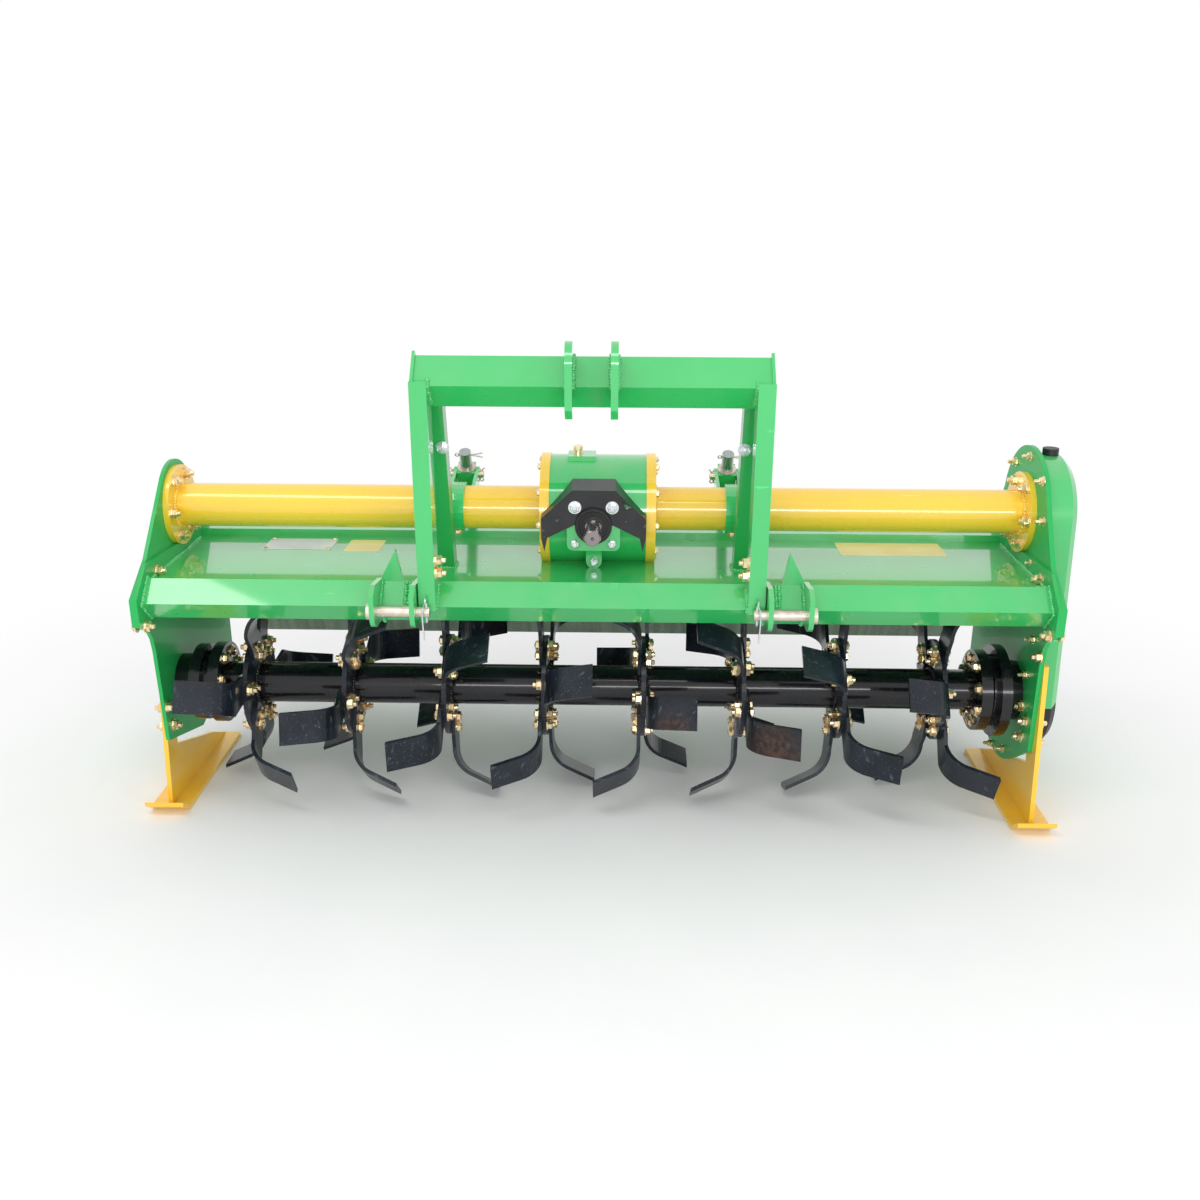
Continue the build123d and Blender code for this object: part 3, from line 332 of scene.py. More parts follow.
class Shader(Graph):
    """One material's node tree."""

    def __init__(self, name):
        self.material = bpy.data.materials.new(name)
        self.material.use_nodes = True
        super().__init__(self.material.node_tree)
        self.tree.nodes.clear()
        self.coords = self.node("ShaderNodeTexCoord", output="Object")

    def mix(self, factor, first, second):
        """Blend of two colours."""
        inputs = {0: factor, 6: first, 7: second}
        return self.node("ShaderNodeMix", {"data_type": "RGBA"}, inputs, output=2)

    def noise(self, scale, detail=3.0, coords=None):
        source = self.coords if coords is None else coords
        return self.node("ShaderNodeTexNoise", None, {"Vector": source, "Scale": scale, "Detail": detail})

    def streaks(self, scale, detail=3.0):
        """Noise drawn out along the axes with the smaller scales."""
        inputs = {"Vector": self.coords, "Scale": scale}
        return self.noise(1.0, detail, self.node("ShaderNodeMapping", {"vector_type": "POINT"}, inputs))

    def facing(self, name):
        """One component of the surface normal in the object's own space."""
        normal = self.node("ShaderNodeTexCoord", output="Normal")
        return self.node("ShaderNodeSeparateXYZ", None, {"Vector": normal}, output=name)

    def distance(self, point):
        """Distance from a point, in metres."""
        inputs = {0: self.coords, 1: tuple(point)}
        return self.node("ShaderNodeVectorMath", {"operation": "DISTANCE"}, inputs, output="Value")

    def bump(self, height, strength, distance):
        inputs = {"Height": height, "Strength": strength, "Distance": distance}
        return self.node("ShaderNodeBump", None, inputs)

    def show(self, shader):
        """Sends a shader to the output and gives back the material."""
        self.node("ShaderNodeOutputMaterial", None, {"Surface": shader})
        return self.material

    def surface(self, colour, roughness, normal, **inputs):
        """Principled surface; further inputs have their sockets' names, with underscores for spaces."""
        fed = {"Base Color": colour, "Roughness": roughness, "Normal": normal}
        fed.update((key.replace("_", " "), value) for key, value in inputs.items())
        return self.show(self.node("ShaderNodeBsdfPrincipled", None, fed))


def srgb(red, green, blue):
    """Linear colour from 0 to 255 display values."""

    def linear(level):
        level /= 255
        return level / 12.92 if level <= 0.04045 else ((level + 0.055) / 1.055) ** 2.4

    return (linear(red), linear(green), linear(blue), 1.0)


def shade(colour, factor):
    """The same colour, darker or lighter."""
    return tuple(min(1.0, level * factor) for level in colour[:3]) + (1.0,)


# ---- sizes and colours a user may change ------------------------------------------
def setting(name, description, default, **limits):
    return bpy.props.FloatProperty(name=name, description=description, default=default, **limits)


def length(name, description, default, low):
    return setting(name, description, default, min=low, unit="LENGTH")


def angle(name, description, degrees):
    return setting(name, description, math.radians(degrees), subtype="ANGLE")


def colour(name, description, default):
    """Colour setting; the default is a linear colour."""
    kind = {"subtype": "COLOR", "size": 4, "min": 0.0, "max": 1.0}
    return bpy.props.FloatVectorProperty(name=name, description=description, default=default, **kind)


class PaintSettings(bpy.types.PropertyGroup):
    """Colours of the paints."""

    frame_green: colour("Frame green", "Enamel of frame, gearbox and gear case", srgb(46, 190, 98))
    # The struts' green is the frame green made darker, as painted shade on the struts behind the headstock.
    strut_green: colour("Strut green", "Enamel of the struts behind the headstock", srgb(34, 160, 76))
    tube_yellow: colour("Tube yellow", "Enamel of the axle tubes and gearbox covers", srgb(255, 206, 54))
    skid_yellow: colour("Skid yellow", "Enamel of the skids", srgb(255, 200, 52))
    rotor_black: colour("Rotor black", "Dip paint of the rotor", srgb(20, 20, 26))
    blade_coat: colour("Blade coat", "Thin coat of the blades", srgb(22, 28, 38))


class StageSettings(bpy.types.PropertyGroup):
    """Camera, lamps and floor."""

    lens: setting("Lens", "Focal length of the camera", 36.0, min=10.0, unit="CAMERA")
    camera_place: bpy.props.FloatVectorProperty(
        name="Camera place",
        description="Camera from the middle of the headstock and the rotor's axis",
        default=(0.0557, -2.4805, 1.0757),
        subtype="TRANSLATION",
        unit="LENGTH",
    )
    camera_pitch: angle("Camera pitch", "How far the camera looks down", 19.38)
    camera_yaw: angle("Camera yaw", "How far the camera looks to the left", 0.98)
    camera_roll: angle("Camera roll", "Turn of the camera about its view", 0.26)
    sky: setting("Sky", "Strength of the soft light all round", 0.85, min=0.0)
    key: setting("Key lamp", "Power of the large lamp above", 34.0, min=0.0, unit="POWER")
    fill: setting("Fill lamp", "Power of the lamp beside the camera", 44.0, min=0.0, unit="POWER")
    floor_radius: length("Floor radius", "Radius of the round floor", 14.0, 2.0)


class FastenerSettings(bpy.types.PropertyGroup):
    """Sizes of bolts, nuts and washers, and the places of the blades' bolts."""

    small_flats: length("Small bolt", "Width across flats of the small bolts", 0.0125, 0.004)
    bolt_flats: length("Bolt", "Width across flats of the usual bolts and nuts", 0.019, 0.005)
    plain_flats: length("Plain bolt", "Width across flats of the bolts without washers", 0.0165, 0.005)
    large_flats: length("Large bolt", "Width across flats of the large bolts", 0.024, 0.006)
    washer_share: setting("Washer share", "Washer radius against width across flats", 0.72, min=0.5, max=1.2)
    stud_length: length("Stud length", "Thread that stands out of a nut", 0.006, 0.0)
    first_blade: angle("First blade", "First left-handed blade, below straight ahead", -12.3)
    flange_step: angle("Flange step", "Turn from one tine flange to the next", 16.4)


class WeldSettings(bpy.types.PropertyGroup):
    """Size of the weld beads."""

    drop_radius: length("Drop radius", "Radius of one drop of weld", 0.0052, 0.001)
    drop_pitch: length("Drop pitch", "Distance from drop to drop", 0.0064, 0.001)


class PlateSettings(bpy.types.PropertyGroup):
    """Blank plates and labels on the deck."""

    plate_thickness: length("Plate thickness", "Thickness of the riveted plate", 0.0012, 0.0002)
    label_thickness: length("Label thickness", "Thickness of the film labels", 0.0005, 0.0001)


# ---- finishes ---------------------------------------------------------------------
def gloss_paint(name, colour, dust_amount=0.25, roughness=0.24, coat=1.0, level=0.5):
    """Machine enamel: slight orange peel, uneven gloss, dust where it lies flat, small scuffs."""
    s = Shader(name)
    broad = s.noise(2.6, 3.0)
    blotch = s.noise(17.0, 4.0)
    tint = s.mix(broad.step(0.25, 0.75), shade(colour, 0.96), shade(colour, 1.04))
    speck = s.noise(420.0, 2.0).step(0.70, 0.78)
    tint = s.mix(speck * 0.35, tint, shade(colour, 0.55))
    dust = s.facing("Z").step(0.55, 1.0) * blotch.step(0.30, 0.95) * dust_amount
    tint = s.mix(dust, tint, srgb(190, 186, 160))
    scratch = s.streaks((9.0, 160.0, 60.0), 2.0).step(0.71, 0.74) * blotch.step(0.52, 0.62)
    tint = s.mix(scratch * 0.5, tint, shade(colour, 1.9))
    gloss = roughness + blotch * 0.10 + dust * 0.5
    peel = s.noise(300.0, 2.0) * 0.12 + s.noise(24.0, 2.0) * 0.9
    normal = s.bump(peel, 0.16, 0.0016)
    coats = {"Coat_Weight": coat, "Coat_Roughness": 0.05, "Coat_IOR": 1.7}
    return s.surface(tint, gloss, normal, Specular_IOR_Level=level, **coats)


def rotor_paint(name, colour):
    """Thick black dip paint with runs, over rolled steel."""
    s = Shader(name)
    cloud = s.noise(9.0, 4.0)
    tint = s.mix(cloud.step(0.35, 0.7), shade(colour, 0.7), shade(colour, 1.4))
    dust = s.noise(60.0, 5.0).step(0.58, 0.8)
    tint = s.mix(dust * 0.2, tint, srgb(64, 58, 54))
    runs = s.streaks((14.0, 60.0, 60.0), 3.0)
    normal = s.bump(runs * 0.6 + s.noise(180.0, 3.0) * 0.15, 0.30, 0.0025)
    gloss = 0.20 + cloud * 0.14 + dust * 0.2
    return s.surface(tint, gloss, normal, Specular_IOR_Level=0.2, Coat_Weight=0.55, Coat_Roughness=0.05)


def blade_paint(name, colour, rust_spots):
    """Thin dark coat on forged blades: rubbed patches, bare edges, and rust on some."""
    s = Shader(name)
    cloud = s.noise(13.0, 5.0)
    tint = s.mix(cloud.step(0.3, 0.7), shade(colour, 0.62), shade(colour, 1.5))
    rub = s.streaks((40.0, 120.0, 34.0), 4.0).step(0.60, 0.74)
    tint = s.mix(rub * 0.5, tint, srgb(104, 112, 124))
    flecks = s.noise(520.0, 1.0).step(0.72, 0.76)
    tint = s.mix(flecks * 0.6, tint, srgb(178, 186, 198))
    rust = 0.0
    for point, radius in rust_spots:
        spot = (s.distance(point) + s.noise(28.0, 4.0) * 0.035).step(radius, radius * 0.35)
        rust = spot if rust == 0.0 else s.math("MAXIMUM", rust, spot)
    rust_tone = s.mix(s.noise(90.0, 5.0).step(0.35, 0.65), srgb(38, 28, 24), srgb(78, 52, 38))
    tint = s.mix(rust * 0.85, tint, rust_tone)
    gloss = 0.26 + cloud * 0.18 + rub * 0.12 + rust * 0.3
    normal = s.bump(cloud * 0.5 + s.noise(260.0, 3.0) * 0.2 + rust * 0.2, 0.28, 0.0018)
    return s.surface(tint, gloss, normal, Specular_IOR_Level=0.22, Coat_Weight=0.28, Coat_Roughness=0.10)


def plated_steel(name, colour, second, roughness=0.26, grime_amount=0.35):
    """Zinc plate, with the drifting tints of its chromate."""
    s = Shader(name)
    drift = s.noise(70.0, 3.0)
    tint = s.mix(drift.step(0.35, 0.65), colour, second)
    grime = s.noise(110.0, 3.0).step(0.58, 0.74)
    tint = s.mix(grime * grime_amount, tint, srgb(92, 70, 44))
    normal = s.bump(s.noise(900.0, 2.0), 0.12, 0.0005)
    return s.surface(tint, roughness + drift * 0.14, normal, Metallic=0.95)


def turned_steel(name, colour, marks_axis):
    """Bare machined steel with turning marks round the given axis."""
    s = Shader(name)
    marks = s.streaks({"X": (900.0, 9.0, 9.0), "Y": (9.0, 900.0, 9.0)}[marks_axis])
    stain = s.noise(45.0, 4.0).step(0.55, 0.75)
    tint = s.mix(marks.step(0.3, 0.7), shade(colour, 0.86), shade(colour, 1.08))
    tint = s.mix(stain * 0.4, tint, srgb(150, 138, 118))
    normal = s.bump(marks, 0.2, 0.0004)
    return s.surface(tint, 0.24 + stain * 0.2, normal, Metallic=0.9)


def tail_paint(name, colour):
    """Dusty sheet of the tailboard, streaked from top to bottom."""
    s = Shader(name)
    streak = s.streaks((60.0, 3.0, 3.0), 5.0)
    cloud = s.noise(6.0, 4.0)
    tint = s.mix(streak.step(0.3, 0.75), shade(colour, 0.86), srgb(138, 158, 140))
    tint = s.mix(cloud.step(0.45, 0.8) * 0.35, tint, srgb(122, 126, 112))
    speck = s.noise(260.0, 3.0)
    tint = s.mix(speck.step(0.55, 0.72) * 0.5, tint, srgb(168, 182, 166))
    pit = s.noise(170.0, 3.0).step(0.58, 0.70)
    tint = s.mix(pit * 0.4, tint, srgb(70, 84, 68))
    normal = s.bump(streak * 0.4 + s.noise(200.0, 3.0) * 0.2, 0.2, 0.0015)
    return s.surface(tint, 0.42 + cloud * 0.2, normal, Coat_Weight=0.15)


def moulded_plastic(name, colour, grain=650.0, roughness=0.42):
    """Moulded plastic or rubber with a fine leather grain and handling marks."""
    s = Shader(name)
    cloud = s.noise(21.0, 4.0)
    tint = s.mix(cloud.step(0.35, 0.7), shade(colour, 0.8), shade(colour, 1.35))
    rub = s.streaks((30.0, 150.0, 80.0), 3.0).step(0.64, 0.70)
    tint = s.mix(rub * 0.3, tint, shade(colour, 3.0))
    normal = s.bump(s.noise(grain, 2.0), 0.25, 0.0006)
    return s.surface(tint, roughness + cloud * 0.14, normal)


def guard_paint(name, colour):
    """Black stoved paint on folded sheet: glossy, with fine scuffs and a grey haze."""
    s = Shader(name)
    haze = s.noise(26.0, 4.0)
    tint = s.mix(haze.step(0.4, 0.75), colour, shade(colour, 1.9))
    scuff = s.streaks((60.0, 200.0, 120.0), 3.0).step(0.66, 0.72)
    tint = s.mix(scuff * 0.35, tint, srgb(120, 118, 114))
    normal = s.bump(s.noise(420.0, 2.0), 0.1, 0.0005)
    gloss = 0.26 + haze * 0.16
    return s.surface(tint, gloss, normal, Specular_IOR_Level=0.3, Coat_Weight=0.55, Coat_Roughness=0.1)


def film(name, colour, second):
    """Printed film or thin plate, blank, a little faded and dusty."""
    s = Shader(name)
    fade = s.noise(11.0, 3.0)
    tint = s.mix(fade.step(0.35, 0.65), colour, second)
    dust = s.noise(150.0, 4.0).step(0.6, 0.8)
    tint = s.mix(dust * 0.3, tint, srgb(176, 172, 156))
    normal = s.bump(s.noise(60.0, 2.0), 0.08, 0.0008)
    return s.surface(tint, 0.34 + fade * 0.12, normal, Coat_Weight=0.3)


materials = {}


def make_materials(p):
    """Every finish, by the name that the pieces and nodes ask for, in the colours of the settings."""
    # The frame green darkened to 0.85, with little coat and gloss, is painted shade for the side, end and
    # gear case plates.
    shaded_green = shade(p.frame_green, 0.85)
    for finish, make, *looks in (
        ("green", gloss_paint, "green_enamel", p.frame_green),
        # darker, less glossy copy of the frame green for the struts: painted shade
        ("green_inner", gloss_paint, "green_enamel_inner", p.strut_green, 0.35, 0.30, 0.5, 0.4),
        ("green_side", gloss_paint, "green_enamel_side", shaded_green, 0.2, 0.34, 0.12, 0.2),
        ("yellow", gloss_paint, "yellow_enamel", p.tube_yellow, 0.12, 0.22, 0.7),
        ("skid", gloss_paint, "skid_enamel", p.skid_yellow, 0.2, 0.30, 0.4),
        ("black", rotor_paint, "black_enamel", p.rotor_black),
        ("blade", blade_paint, "blade_coat", p.blade_coat, rust_places()),
        ("white_zinc", plated_steel, "white_zinc", srgb(236, 238, 242), srgb(216, 220, 226), 0.24, 0.15),
        ("gold_zinc", plated_steel, "gold_zinc", srgb(252, 234, 192), srgb(240, 208, 164), 0.2, 0.45),
        ("pin", plated_steel, "nickel_plate", srgb(226, 216, 202), srgb(208, 196, 182), 0.34, 0.15),
        ("shaft", turned_steel, "turned_shaft", srgb(150, 142, 142), "Y"),
        ("rod", turned_steel, "drawn_rod", srgb(172, 178, 178), "X"),
        ("tail", tail_paint, "tailboard_paint", srgb(122, 138, 120)),
        ("plastic", guard_paint, "guard_paint", srgb(20, 21, 24)),
        ("rubber", moulded_plastic, "seal_rubber", srgb(22, 22, 24), 900.0, 0.34),
        ("cap", moulded_plastic, "cap_plastic", srgb(28, 28, 30), 500.0, 0.38),
        ("plate", film, "blank_plate", srgb(232, 238, 240), srgb(214, 222, 226)),
        ("label", film, "blank_label", srgb(252, 238, 150), srgb(246, 228, 128)),
    ):
        materials[finish] = make(*looks)


# nodes by finish; blade sets have the blade coat, and every other node is green
FINISH_NODES = {
    "yellow": ("axle_tube_left", "axle_tube_right", "gearbox_cover_left", "gearbox_cover_right"),
    "skid": ("skid_left", "skid_right"),
    "tail": ("tailboard",),
    "plastic": ("shaft_guard",),
    "cap": ("gear_case_foot", "filler_cap"),
    "shaft": ("input_shaft",),
    "black": ("rotor_tube", "rotor_housing_left", "rotor_housing_right", "hub_cap_left"),
    "pin": ("hitch_pin_left", "hitch_pin_right"),
    "rod": ("tail_rod_left", "tail_rod_right"),
    # struts: the darker, less glossy copy of the frame green, as painted shade
    "green_inner": ("strut_left", "strut_right"),
    # side, end and gear case plates: the darker, less glossy copy of the frame green, as painted shade
    "green_side": ("side_plate_left", "gear_case_plate", "end_plate_left", "end_plate_right"),
}
NODE_FINISH = {node: finish for finish, nodes in FINISH_NODES.items() for node in nodes}


def rust_places():
    """Tips of the blades that have rusted, in the row frame, each with the reach of its rust."""
    places = []
    for node, inboard, y, z, reach in RUST:
        places.append((at(outer_face(node, 1) - inboard, y, z), reach))
    return places


# ---- mesh helpers -----------------------------------------------------------------
def link(name, mesh, material=None):
    """New object at the origin with this mesh."""
    obj = bpy.data.objects.new(name, mesh)
    bpy.context.scene.collection.objects.link(obj)
    if material is not None:
        mesh.materials.clear()
        mesh.materials.append(materials[material])
    return obj


def deliver(obj, body):
    """Rides a finished piece on its body."""
    if not obj.data.polygons:
        raise RuntimeError(obj.name + " came out empty")
    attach(obj, body)
    return obj


def from_bmesh(name, bm, material, smooth_angle=None):
    """Object from a bmesh, its normals set outwards."""
    bmesh.ops.remove_doubles(bm, verts=bm.verts, dist=1e-6)
    bmesh.ops.recalc_face_normals(bm, faces=bm.faces)
    mesh = bpy.data.meshes.new(name)
    bm.to_mesh(mesh)
    bm.free()
    if smooth_angle is not None:
        mesh.polygons.foreach_set("use_smooth", [True] * len(mesh.polygons))
        mesh.set_sharp_from_angle(angle=math.radians(smooth_angle))
    return link(name, mesh, material)


def circle(bm, centre, across, up, radius, sides):
    """Vertices round a circle in the plane of two unit vectors."""
    turns = [2 * math.pi * step / sides for step in range(sides)]
    return [bm.verts.new(centre + (across * math.cos(turn) + up * math.sin(turn)) * radius) for turn in turns]


def bridge(bm, rings, closed=False):
    """Adds the faces from ring to ring, and ends unless the last ring joins the first."""
    pairs = list(zip(rings, rings[1:]))
    if closed:
        pairs.append((rings[-1], rings[0]))
    for low, high in pairs:
        for step in range(len(low)):
            after = (step + 1) % len(low)
            bm.faces.new((low[step], low[after], high[after], high[step]))
    if not closed:
        bm.faces.new(rings[0][::-1])
        bm.faces.new(rings[-1])


def turned(bm, origin, axis, profile, sides, closed=False):
    """Adds a turned body: profile is (along the axis, radius) in metres, and a closed one makes a ring."""
    axis = axis.normalized()
    across = axis.orthogonal().normalized()
    up = axis.cross(across)
    rings = [circle(bm, origin + axis * along, across, up, radius, sides) for along, radius in profile]
    bridge(bm, rings, closed)


def slab(bm, corners, normal, thickness):
    """Adds a thin prism over a flat outline, its top thickness above it."""
    bridge(bm, [[bm.verts.new(corner + normal * height) for corner in corners] for height in (0, thickness)])


def wire(bm, points, radius, closed=False):
    """Adds a round wire through the points."""
    count = len(points)
    rings = []
    for index, point in enumerate(points):
        before = points[index - 1] if index or closed else point
        after = points[(index + 1) % count] if index < count - 1 or closed else point
        along = (after - before).normalized()
        side = along.cross(X_AXIS if abs(along.x) < 0.8 else Z_AXIS).normalized()
        rings.append(circle(bm, point, side, side.cross(along), radius, WIRE_SIDES))
    bridge(bm, rings, closed)


def cosine(degrees):
    return math.cos(math.radians(degrees))


def sine(degrees):
    return math.sin(math.radians(degrees))


def rounded_rectangle(x_low, x_high, y_low, y_high, radius):
    """Corners of a rounded rectangle that lies a little in the deck."""
    found = []
    for x, y, start in (
        (x_high - radius, y_high - radius, 0),
        (x_low + radius, y_high - radius, 90),
        (x_low + radius, y_low + radius, 180),
        (x_high - radius, y_low + radius, 270),
    ):
        for turn in (start + 22.5 * step for step in range(5)):
            found.append(at(x + radius * cosine(turn), y + radius * sine(turn), DECK_TOP - PLATE_SINK))
    return found


def linch_pin(bm, point, side):
    """Adds a linch pin through the tail of a lower link pin: shank, eye, and a spring wire hanging down."""
    head = point + Z_AXIS * 0.019
    turned(bm, head, -Z_AXIS, LINCH_SHANK, 14)
    turns = range(0, 360, 24)
    eye = [head + Vector((side * 0.002, cosine(turn) * 0.006, 0.005 + sine(turn) * 0.006)) for turn in turns]
    wire(bm, eye, WIRE_RADIUS, closed=True)
    wire(bm, [head + Vector((side * x, y, z)) for x, y, z in LINCH_WIRE], WIRE_RADIUS)


def split_pin(bm, point, across, up, half_length, leg=0.004):
    """Adds a split pin: eye on one side, two legs opened on the other."""
    across = across.normalized()
    up = up.normalized()
    middle = point - across * (half_length + PIN_EYE)
    turns = [2 * math.pi * step / 16 for step in range(16)]
    eye = [middle - across * (PIN_EYE * math.cos(turn)) + up * (PIN_EYE * math.sin(turn)) for turn in turns]
    wire(bm, eye, WIRE_RADIUS, closed=True)
    for sign in (-1, 1):
        start = point - across * half_length + up * (sign * WIRE_RADIUS * 0.8)
        through = start + across * (2 * half_length + 0.001)
        bent = through + across * (leg * 0.6) + up * (sign * 0.0025)
        tip = through + across * leg + up * (sign * 0.0055)
        wire(bm, [start, through, bent, tip], WIRE_RADIUS)


# ---- geometry-nodes trees ---------------------------------------------------------
class Tree(Graph):
    """One geometry-nodes tree that works on a Geometry, with named inputs."""

    def __init__(self, name, inputs):
        super().__init__(bpy.data.node_groups.new(name, "GeometryNodeTree"))
        face = self.tree.interface
        face.new_socket("Geometry", in_out="INPUT", socket_type="NodeSocketGeometry")
        for label, kind, default in inputs:
            socket = face.new_socket(label, in_out="INPUT", socket_type=kind)
            if default is not None:
                socket.default_value = default
        face.new_socket("Geometry", in_out="OUTPUT", socket_type="NodeSocketGeometry")
        self.inside = self.tree.nodes.new("NodeGroupInput")

    def given(self, label):
        return Value(self, self.inside.outputs[label])

    def lift(self, geometry, height):
        offset = self.node("ShaderNodeCombineXYZ", None, {"Z": height})
        return self.node("GeometryNodeTransform", None, {"Geometry": geometry, "Translation": offset})

    def prism(self, sides, radius, depth, foot):
        """Upright prism that stands at the height of its foot."""
        inputs = {"Vertices": sides, "Radius": radius, "Depth": depth}
        prism = self.node("GeometryNodeMeshCylinder", {"fill_type": "NGON"}, inputs)
        return self.lift(prism, depth * 0.5 + foot)

    def taper(self, sides, radius, top_radius, depth, foot):
        """Upright prism that narrows to its top."""
        inputs = {"Vertices": sides, "Radius Top": top_radius, "Radius Bottom": radius, "Depth": depth}
        return self.lift(self.node("GeometryNodeMeshCone", {"fill_type": "NGON"}, inputs), foot)

    def random(self, low, high):
        """One number for each point."""
        inputs = {2: low, 3: high, "Seed": self.given("Seed")}
        return self.node("FunctionNodeRandomValue", {"data_type": "FLOAT"}, inputs, output=1)

    def finish(self, geometry):
        real = self.node("GeometryNodeRealizeInstances", None, {"Geometry": geometry})
        inputs = {"Geometry": real, "Material": self.given("Material")}
        painted = self.node("GeometryNodeSetMaterial", None, inputs)
        self.node("NodeGroupOutput", None, {"Geometry": painted})
        return self.tree


def fastener_tree():
    """A hexagon on a washer, with a stud end, on every point; it stands along the point's axis."""
    sizes = [
        ("Across Flats", "NodeSocketFloat", 0.017),
        ("Head Height", "NodeSocketFloat", 0.008),
        ("Washer Radius", "NodeSocketFloat", 0.013),
        ("Washer Thickness", "NodeSocketFloat", 0.002),
        ("Stud Radius", "NodeSocketFloat", 0.005),
        ("Stud Length", "NodeSocketFloat", 0.004),
        ("Seed", "NodeSocketInt", 1),
        ("Material", "NodeSocketMaterial", None),
    ]
    t = Tree("fastener_on_points", sizes)
    flats, height, washer_radius, washer_thickness, stud_radius, stud_length = [
        t.given(label) for label, _, _ in sizes[:6]
    ]
    corner = flats * (1 / math.sqrt(3))
    crown = height * CROWN_FOOT + washer_thickness
    top = height + washer_thickness
    parts = [
        t.prism(18, washer_radius, washer_thickness, 0.0),
        t.prism(6, corner, height * CROWN_FOOT, washer_thickness),
        t.taper(6, corner, flats * CROWN_RADIUS, height * (1 - CROWN_FOOT), crown),
        t.prism(12, stud_radius, stud_length, top),
        t.taper(12, stud_radius, stud_radius * 0.75, STUD_CHAMFER, top + stud_length),
    ]
    whole = t.node("GeometryNodeJoinGeometry", None, {"Geometry": parts})
    axis = t.node("GeometryNodeInputNamedAttribute", {"data_type": "FLOAT_VECTOR"}, {"Name": "axis"})
    stand = t.node("FunctionNodeAlignRotationToVector", {"axis": "Z"}, {"Vector": axis})
    spin = {"Axis": (0, 0, 1), "Angle": t.random(0.0, 2 * math.pi)}
    twist = t.node("FunctionNodeAxisAngleToRotation", None, spin)
    turns = {"Rotation": stand, "Rotate By": twist}
    turn = t.node("FunctionNodeRotateRotation", {"rotation_space": "LOCAL"}, turns)
    inputs = {"Points": t.given("Geometry"), "Instance": whole, "Rotation": turn}
    return t.finish(t.node("GeometryNodeInstanceOnPoints", None, inputs))


def weld_tree():
    """Overlapping flat drops along every edge path, as a hand-laid weld shows."""
    sizes = [
        ("Drop Radius", "NodeSocketFloat", 0.0035),
        ("Drop Pitch", "NodeSocketFloat", 0.0045),
        ("Seed", "NodeSocketInt", 3),
        ("Material", "NodeSocketMaterial", None),
    ]
    t = Tree("weld_along_path", sizes)
    curve = t.node("GeometryNodeMeshToCurve", None, {"Mesh": t.given("Geometry")})
    spacing = {"Curve": curve, "Length": t.given("Drop Pitch")}
    points = t.node("GeometryNodeCurveToPoints", {"mode": "LENGTH"}, spacing)
    limits = {"Min": (-DROP_STRAY,) * 3, "Max": (DROP_STRAY,) * 3, "Seed": t.given("Seed")}
    stray = t.node("FunctionNodeRandomValue", {"data_type": "FLOAT_VECTOR"}, limits)
    moved = t.node("GeometryNodeSetPosition", None, {"Geometry": points, "Offset": stray})
    drop = t.node("GeometryNodeMeshIcoSphere", None, {"Radius": t.given("Drop Radius"), "Subdivisions": 2})
    inputs = {"Points": moved, "Instance": drop, "Scale": t.random(0.75, 1.15)}
    return t.finish(t.node("GeometryNodeInstanceOnPoints", None, inputs))


trees = {}


def grow(name, source, tree, values, body, smooth=False):
    """Runs a tree on a source mesh and delivers the result as a plain piece."""
    if tree not in trees:
        trees[tree] = {"fastener": fastener_tree, "weld": weld_tree}[tree]()
    group = trees[tree]
    maker = link(name + "_source", source)
    modifier = maker.modifiers.new("grow", "NODES")
    modifier.node_group = group
    for item in group.interface.items_tree:
        if item.in_out == "INPUT" and item.name in values:
            modifier[item.identifier] = values[item.name]
    graph = bpy.context.evaluated_depsgraph_get()
    mesh = bpy.data.meshes.new_from_object(maker.evaluated_get(graph))
    mesh.name = name
    bpy.data.objects.remove(maker)
    if smooth:
        mesh.polygons.foreach_set("use_smooth", [True] * len(mesh.polygons))
    piece = link(name, mesh)
    return deliver(piece, body)


def seats(places):
    """Point mesh for fasteners: places are (point, axis)."""
    mesh = bpy.data.meshes.new("seats")
    mesh.from_pydata([point for point, _ in places], [], [])
    attribute = mesh.attributes.new("axis", "FLOAT_VECTOR", "POINT")
    for index, (_, axis) in enumerate(places):
        attribute.data[index].vector = axis
    return mesh


def paths(runs):
    """Edge mesh for welds: runs are lists of points."""
    vertices = []
    edges = []
    for run in runs:
        start = len(vertices)
        vertices += run
        edges += [(start + step, start + step + 1) for step in range(len(run) - 1)]
    mesh = bpy.data.meshes.new("paths")
    mesh.from_pydata(vertices, edges, [])
    return mesh


def fasteners(name, places, kind, finish, body="frame"):
    """Fasteners of one size and finish on one body."""
    f = bpy.context.scene.tiller_fasteners
    flats, height, stud = {
        "small": (f.small_flats, f.small_flats * 0.42, 0.0),
        "bolt": (f.bolt_flats, f.bolt_flats * 0.42, 0.0),
        "nut": (f.bolt_flats, f.bolt_flats * 0.55, f.stud_length),
        "stud": (f.small_flats * 1.15, f.small_flats * 0.65, f.stud_length * 1.4),
        "large": (f.large_flats, f.large_flats * 0.42, 0.0),
        "plain": (f.plain_flats, f.plain_flats * 0.5, 0.0),
    }[kind]
    washer = flats * (0.5 if kind == "plain" else f.washer_share)
    values = {
        "Across Flats": flats,
        "Head Height": height,
        "Washer Radius": washer,
        "Washer Thickness": flats * 0.12,
        "Stud Radius": flats * 0.29,
        "Stud Length": max(stud, 0.0004),
        "Seed": len(places),
        "Material": materials[finish],
    }
    return grow(name, seats(places), "fastener", values, body)


def ring_places(x, y, z, radius, angles, axis):
    """Places on a circle across X."""
    found = []
    for angle in angles:
        turn = math.radians(angle)
        found.append((at(x, y + radius * math.cos(turn), z + radius * math.sin(turn)), axis))
    return found


# ---- pieces -----------------------------------------------------------------------
surfaces = {}


